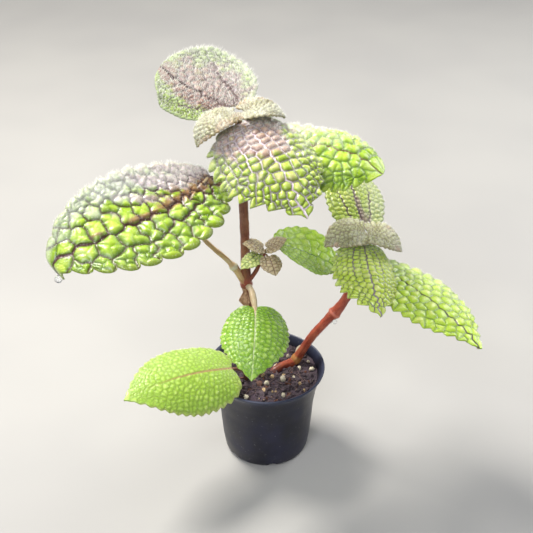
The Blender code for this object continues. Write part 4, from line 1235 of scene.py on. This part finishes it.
SOIL_TOP = 41.8
SOIL_RADIUS, SOIL_BEND_RADIUS, SOIL_RIM_RADIUS, SOIL_RIM_DROP = 25.3, 24.2, 24.1, 1.2
SOIL_RINGS, SOIL_SIDES = 90, 260
LOOSE_SPREAD, PERLITE_SPREAD, FIBRE_SPREAD, FIBRE_LIMIT = 22.4, 21.5, 20.5, 22.5
# Where the photograph shows perlite, in its pixels, and how large each grain looks beside the others.
PERLITE_PIXELS = [(267, 385, 0.8), (283, 396, 0.75), (303, 352, 1.5), (288, 357, 0.7), (287, 364, 0.9),
                  (299, 370, 0.8), (283, 381, 0.9), (316, 370, 0.7), (275, 368, 0.8), (282, 355, 0.7),
                  (246, 399, 0.8), (309, 361, 0.6), (294, 378, 0.65), (262, 393, 0.6)]
PERLITE_MM = 1.8


def soil_height(x, y):
    """The height of the mix's gentle lumps, lower towards the pot."""
    lumps = np.sin(0.55 * x + 1.3) * np.cos(0.62 * y) + 0.6 * np.sin(0.9 * y + 0.5 * x + 0.4)
    return SOIL_TOP + 0.42 * lumps - 0.5 * (np.hypot(x, y) / 24) ** 2


def rough_soil(x, y):
    """The height of the mix with its crumbs."""
    rng = np.random.default_rng(61)
    z = soil_height(x, y) - 0.35
    for size, high in ((7, 0.35), (3.2, 0.3), (1.6, 0.28), (0.8, 0.16)):
        z = z + high * np.abs(wobble(rng, x, y, size, 8)) ** 0.8
    return z


def rough_height(x, y):
    """The height of the crumbly mix at one place."""
    return float(rough_soil(np.array([x]), np.array([y]))[0])


def anywhere(rng, spread):
    """A place on the mix, as likely in one spot as in another."""
    r, turn = spread * math.sqrt(rng.random()), rng.uniform(0, 2 * math.pi)
    return r * math.cos(turn), r * math.sin(turn)


def chunk(rng, size, stretch, detail):
    """One angular grain about its own middle."""
    points, faces = ball(detail)
    for _ in range(7):
        way = rng.normal(size=3)
        way /= np.linalg.norm(way)
        flat = rng.uniform(0.45, 0.85)
        high = points @ way
        points = points - way * np.maximum(high - flat, 0)[:, None] * 0.85
    points = points * (1 + 0.25 * rng.normal(0, 0.3, (len(points), 1)))
    points = points * np.array(stretch) * size
    turn = np.array(Euler(rng.uniform(0, 2 * math.pi, 3)).to_matrix())
    return points @ turn.T, faces


def scattered(name, count, sizes, stretch, material, seed, sink=0.35, places=None):
    """Loose grains on the mix as one piece, at random or at given places with given sizes."""
    rng = np.random.default_rng(seed)
    parts = []
    for k in range(count):
        size = rng.uniform(*sizes) * (0.6 + 0.8 * rng.random() ** 3)
        if places:
            x, y, size = places[k]
        else:
            x, y = anywhere(rng, LOOSE_SPREAD)
        shape = np.array(stretch) * rng.uniform(0.75, 1.25, 3)
        points, faces = chunk(rng, size, shape, 2 if size > 0.9 else 1)
        lift = rough_height(x, y) + size * (0.45 - sink)
        parts.append((points + (x, y, lift), faces, {"share": np.full(len(points), rng.random())}))
    points, faces, values = joined(parts)
    mesh_piece(name, points, faces, material, values, "soil", ["soil"], smooth_shade=False)


def perlite_place(px, py, size):
    """Where the photograph's ray through a pixel meets the top of the mix, with the grain's size."""
    share = math.tan(math.radians(CAMERA_FOV_DEG / 2)) / HALF_FRAME_PX
    across, up = (px - HALF_FRAME_PX) * share, (HALF_FRAME_PX - py) * share
    down = math.radians(CAMERA_DOWN_DEG)
    way = np.array([across, math.cos(down) + up * math.sin(down), -math.sin(down) + up * math.cos(down)])
    start = np.array(CAMERA_AT) / MM
    spot = start + way * ((SOIL_TOP - start[2]) / way[2])
    r = math.hypot(spot[0], spot[1])
    return (*spot[:2] * min(1.0, PERLITE_SPREAD / max(r, 1e-6)), size * PERLITE_MM)


def soil_surface():
    """The rough top of the mix, bent down where it meets the pot."""
    radius = SOIL_RADIUS * np.sqrt(np.linspace(0.00002, 1, SOIL_RINGS))
    bent = SOIL_BEND_RADIUS + (radius - SOIL_BEND_RADIUS) * 0.1
    radius = np.where(radius > SOIL_BEND_RADIUS, bent, radius)
    angle = 2 * math.pi * np.arange(SOIL_SIDES) / SOIL_SIDES
    x = (radius[:, None] * np.cos(angle)).ravel()
    y = (radius[:, None] * np.sin(angle)).ravel()
    z = rough_soil(x, y)
    z = np.where(np.hypot(x, y) > SOIL_RIM_RADIUS, z - SOIL_RIM_DROP, z)
    return np.stack([x, y, z], -1), ring_faces(SOIL_RINGS, SOIL_SIDES)[:, [0, 3, 2, 1]]


def build_fibres():
    """Fibres and rootlets that lie across the top."""
    rng = np.random.default_rng(79)
    parts = []
    for _ in range(75):
        at = np.array(anywhere(rng, FIBRE_SPREAD))
        way, length, bend = rng.uniform(0, 2 * math.pi), rng.uniform(4, 13), rng.normal(0, 0.35)
        path = []
        for s in np.linspace(0, 1, 6):
            if np.hypot(*at) < FIBRE_LIMIT:
                z = rough_height(*at) + 0.25 + 0.9 * math.sin(math.pi * s) * rng.random()
                path.append(((at[0], at[1], z), rng.uniform(0.09, 0.2)))
            way += bend * 0.5 + rng.normal(0, 0.12)
            at = at + np.array([math.cos(way), math.sin(way)]) * length / 5
        if len(path) > 2:
            parts.append(tube_points(path, rng, 6, 1.0, rough=0.1))
    points, faces, values = joined(parts)
    material = earth_material("fibres", "4c3a3a", "7a6262", "a8928c", 0.7, 0.8)
    mesh_piece("soil_fibres", points, faces, material, values, "soil", ["soil"])


def build_soil():
    """The mix with its crumbs, bark, perlite, grit and fibres."""
    material = earth_material("potting_mix", "2a2129", "4e3f4a", "7e6d79")
    mesh_piece("soil_top", *soil_surface(), material, None, "soil", ["soil"])
    crumbs = earth_material("crumbs", "30262c", "564850", "8c7c84", 0.8)
    scattered("soil_crumbs", 560, (0.5, 1.5), (1.2, 1.0, 0.8), crumbs, 71)
    chips = earth_material("bark_chips", "4a2c22", "7a4c38", "a87a5c", 0.8, 0.75)
    scattered("soil_bark", 46, (0.7, 1.5), (1.9, 0.9, 0.4), chips, 73, sink=0.2)
    pale = earth_material("perlite", "bdb49c", "dcd4bc", "f4efe0", 0.6, 0.7)
    places = [perlite_place(*mark) for mark in PERLITE_PIXELS]
    scattered("soil_perlite", len(places), (1, 1), (1.1, 1.0, 0.85), pale, 75, sink=0.0, places=places)
    tan = earth_material("tan_grit", "a58a63", "cdb288", "e6d4b0", 0.6, 0.7)
    scattered("soil_grit", 40, (0.5, 1.0), (1.1, 1.0, 0.8), tan, 77, sink=0.05)
    build_fibres()


build_soil()


# Water drops

DROP_PAST_TIP = (2.2, -0.8, -2.9)
DROP_ON_BRANCH = (31.6, 5.7, 67.2)


def drop(name, at, radius, stretch, node, slot):
    """A hanging drop, round below and drawn up to a neck above."""
    points, faces = ball(4)
    z = points[:, 2]
    neck = 1 - 0.55 * smooth(z, 0.1, 1.0)
    points = np.stack([points[:, 0] * neck, points[:, 1] * neck, np.where(z > 0, z * stretch, z)], -1)
    mesh_piece(name, points * radius + at, faces, water, None, slot, [node])


water = water_material()
leaf = {**LEAF_DEFAULTS, **LEAVES["leaf_big_left"]}
tip = blade_point(leaf, midrib_frames(leaf), np.array(0.985), np.array(0.0))[0]
drop("drop_at_tip", tip + DROP_PAST_TIP, 1.5, 1.2, "leaf_big_left", "leaf")
drop("drop_on_branch", DROP_ON_BRANCH, 1.1, 1.25, "branch_stem", "branch")
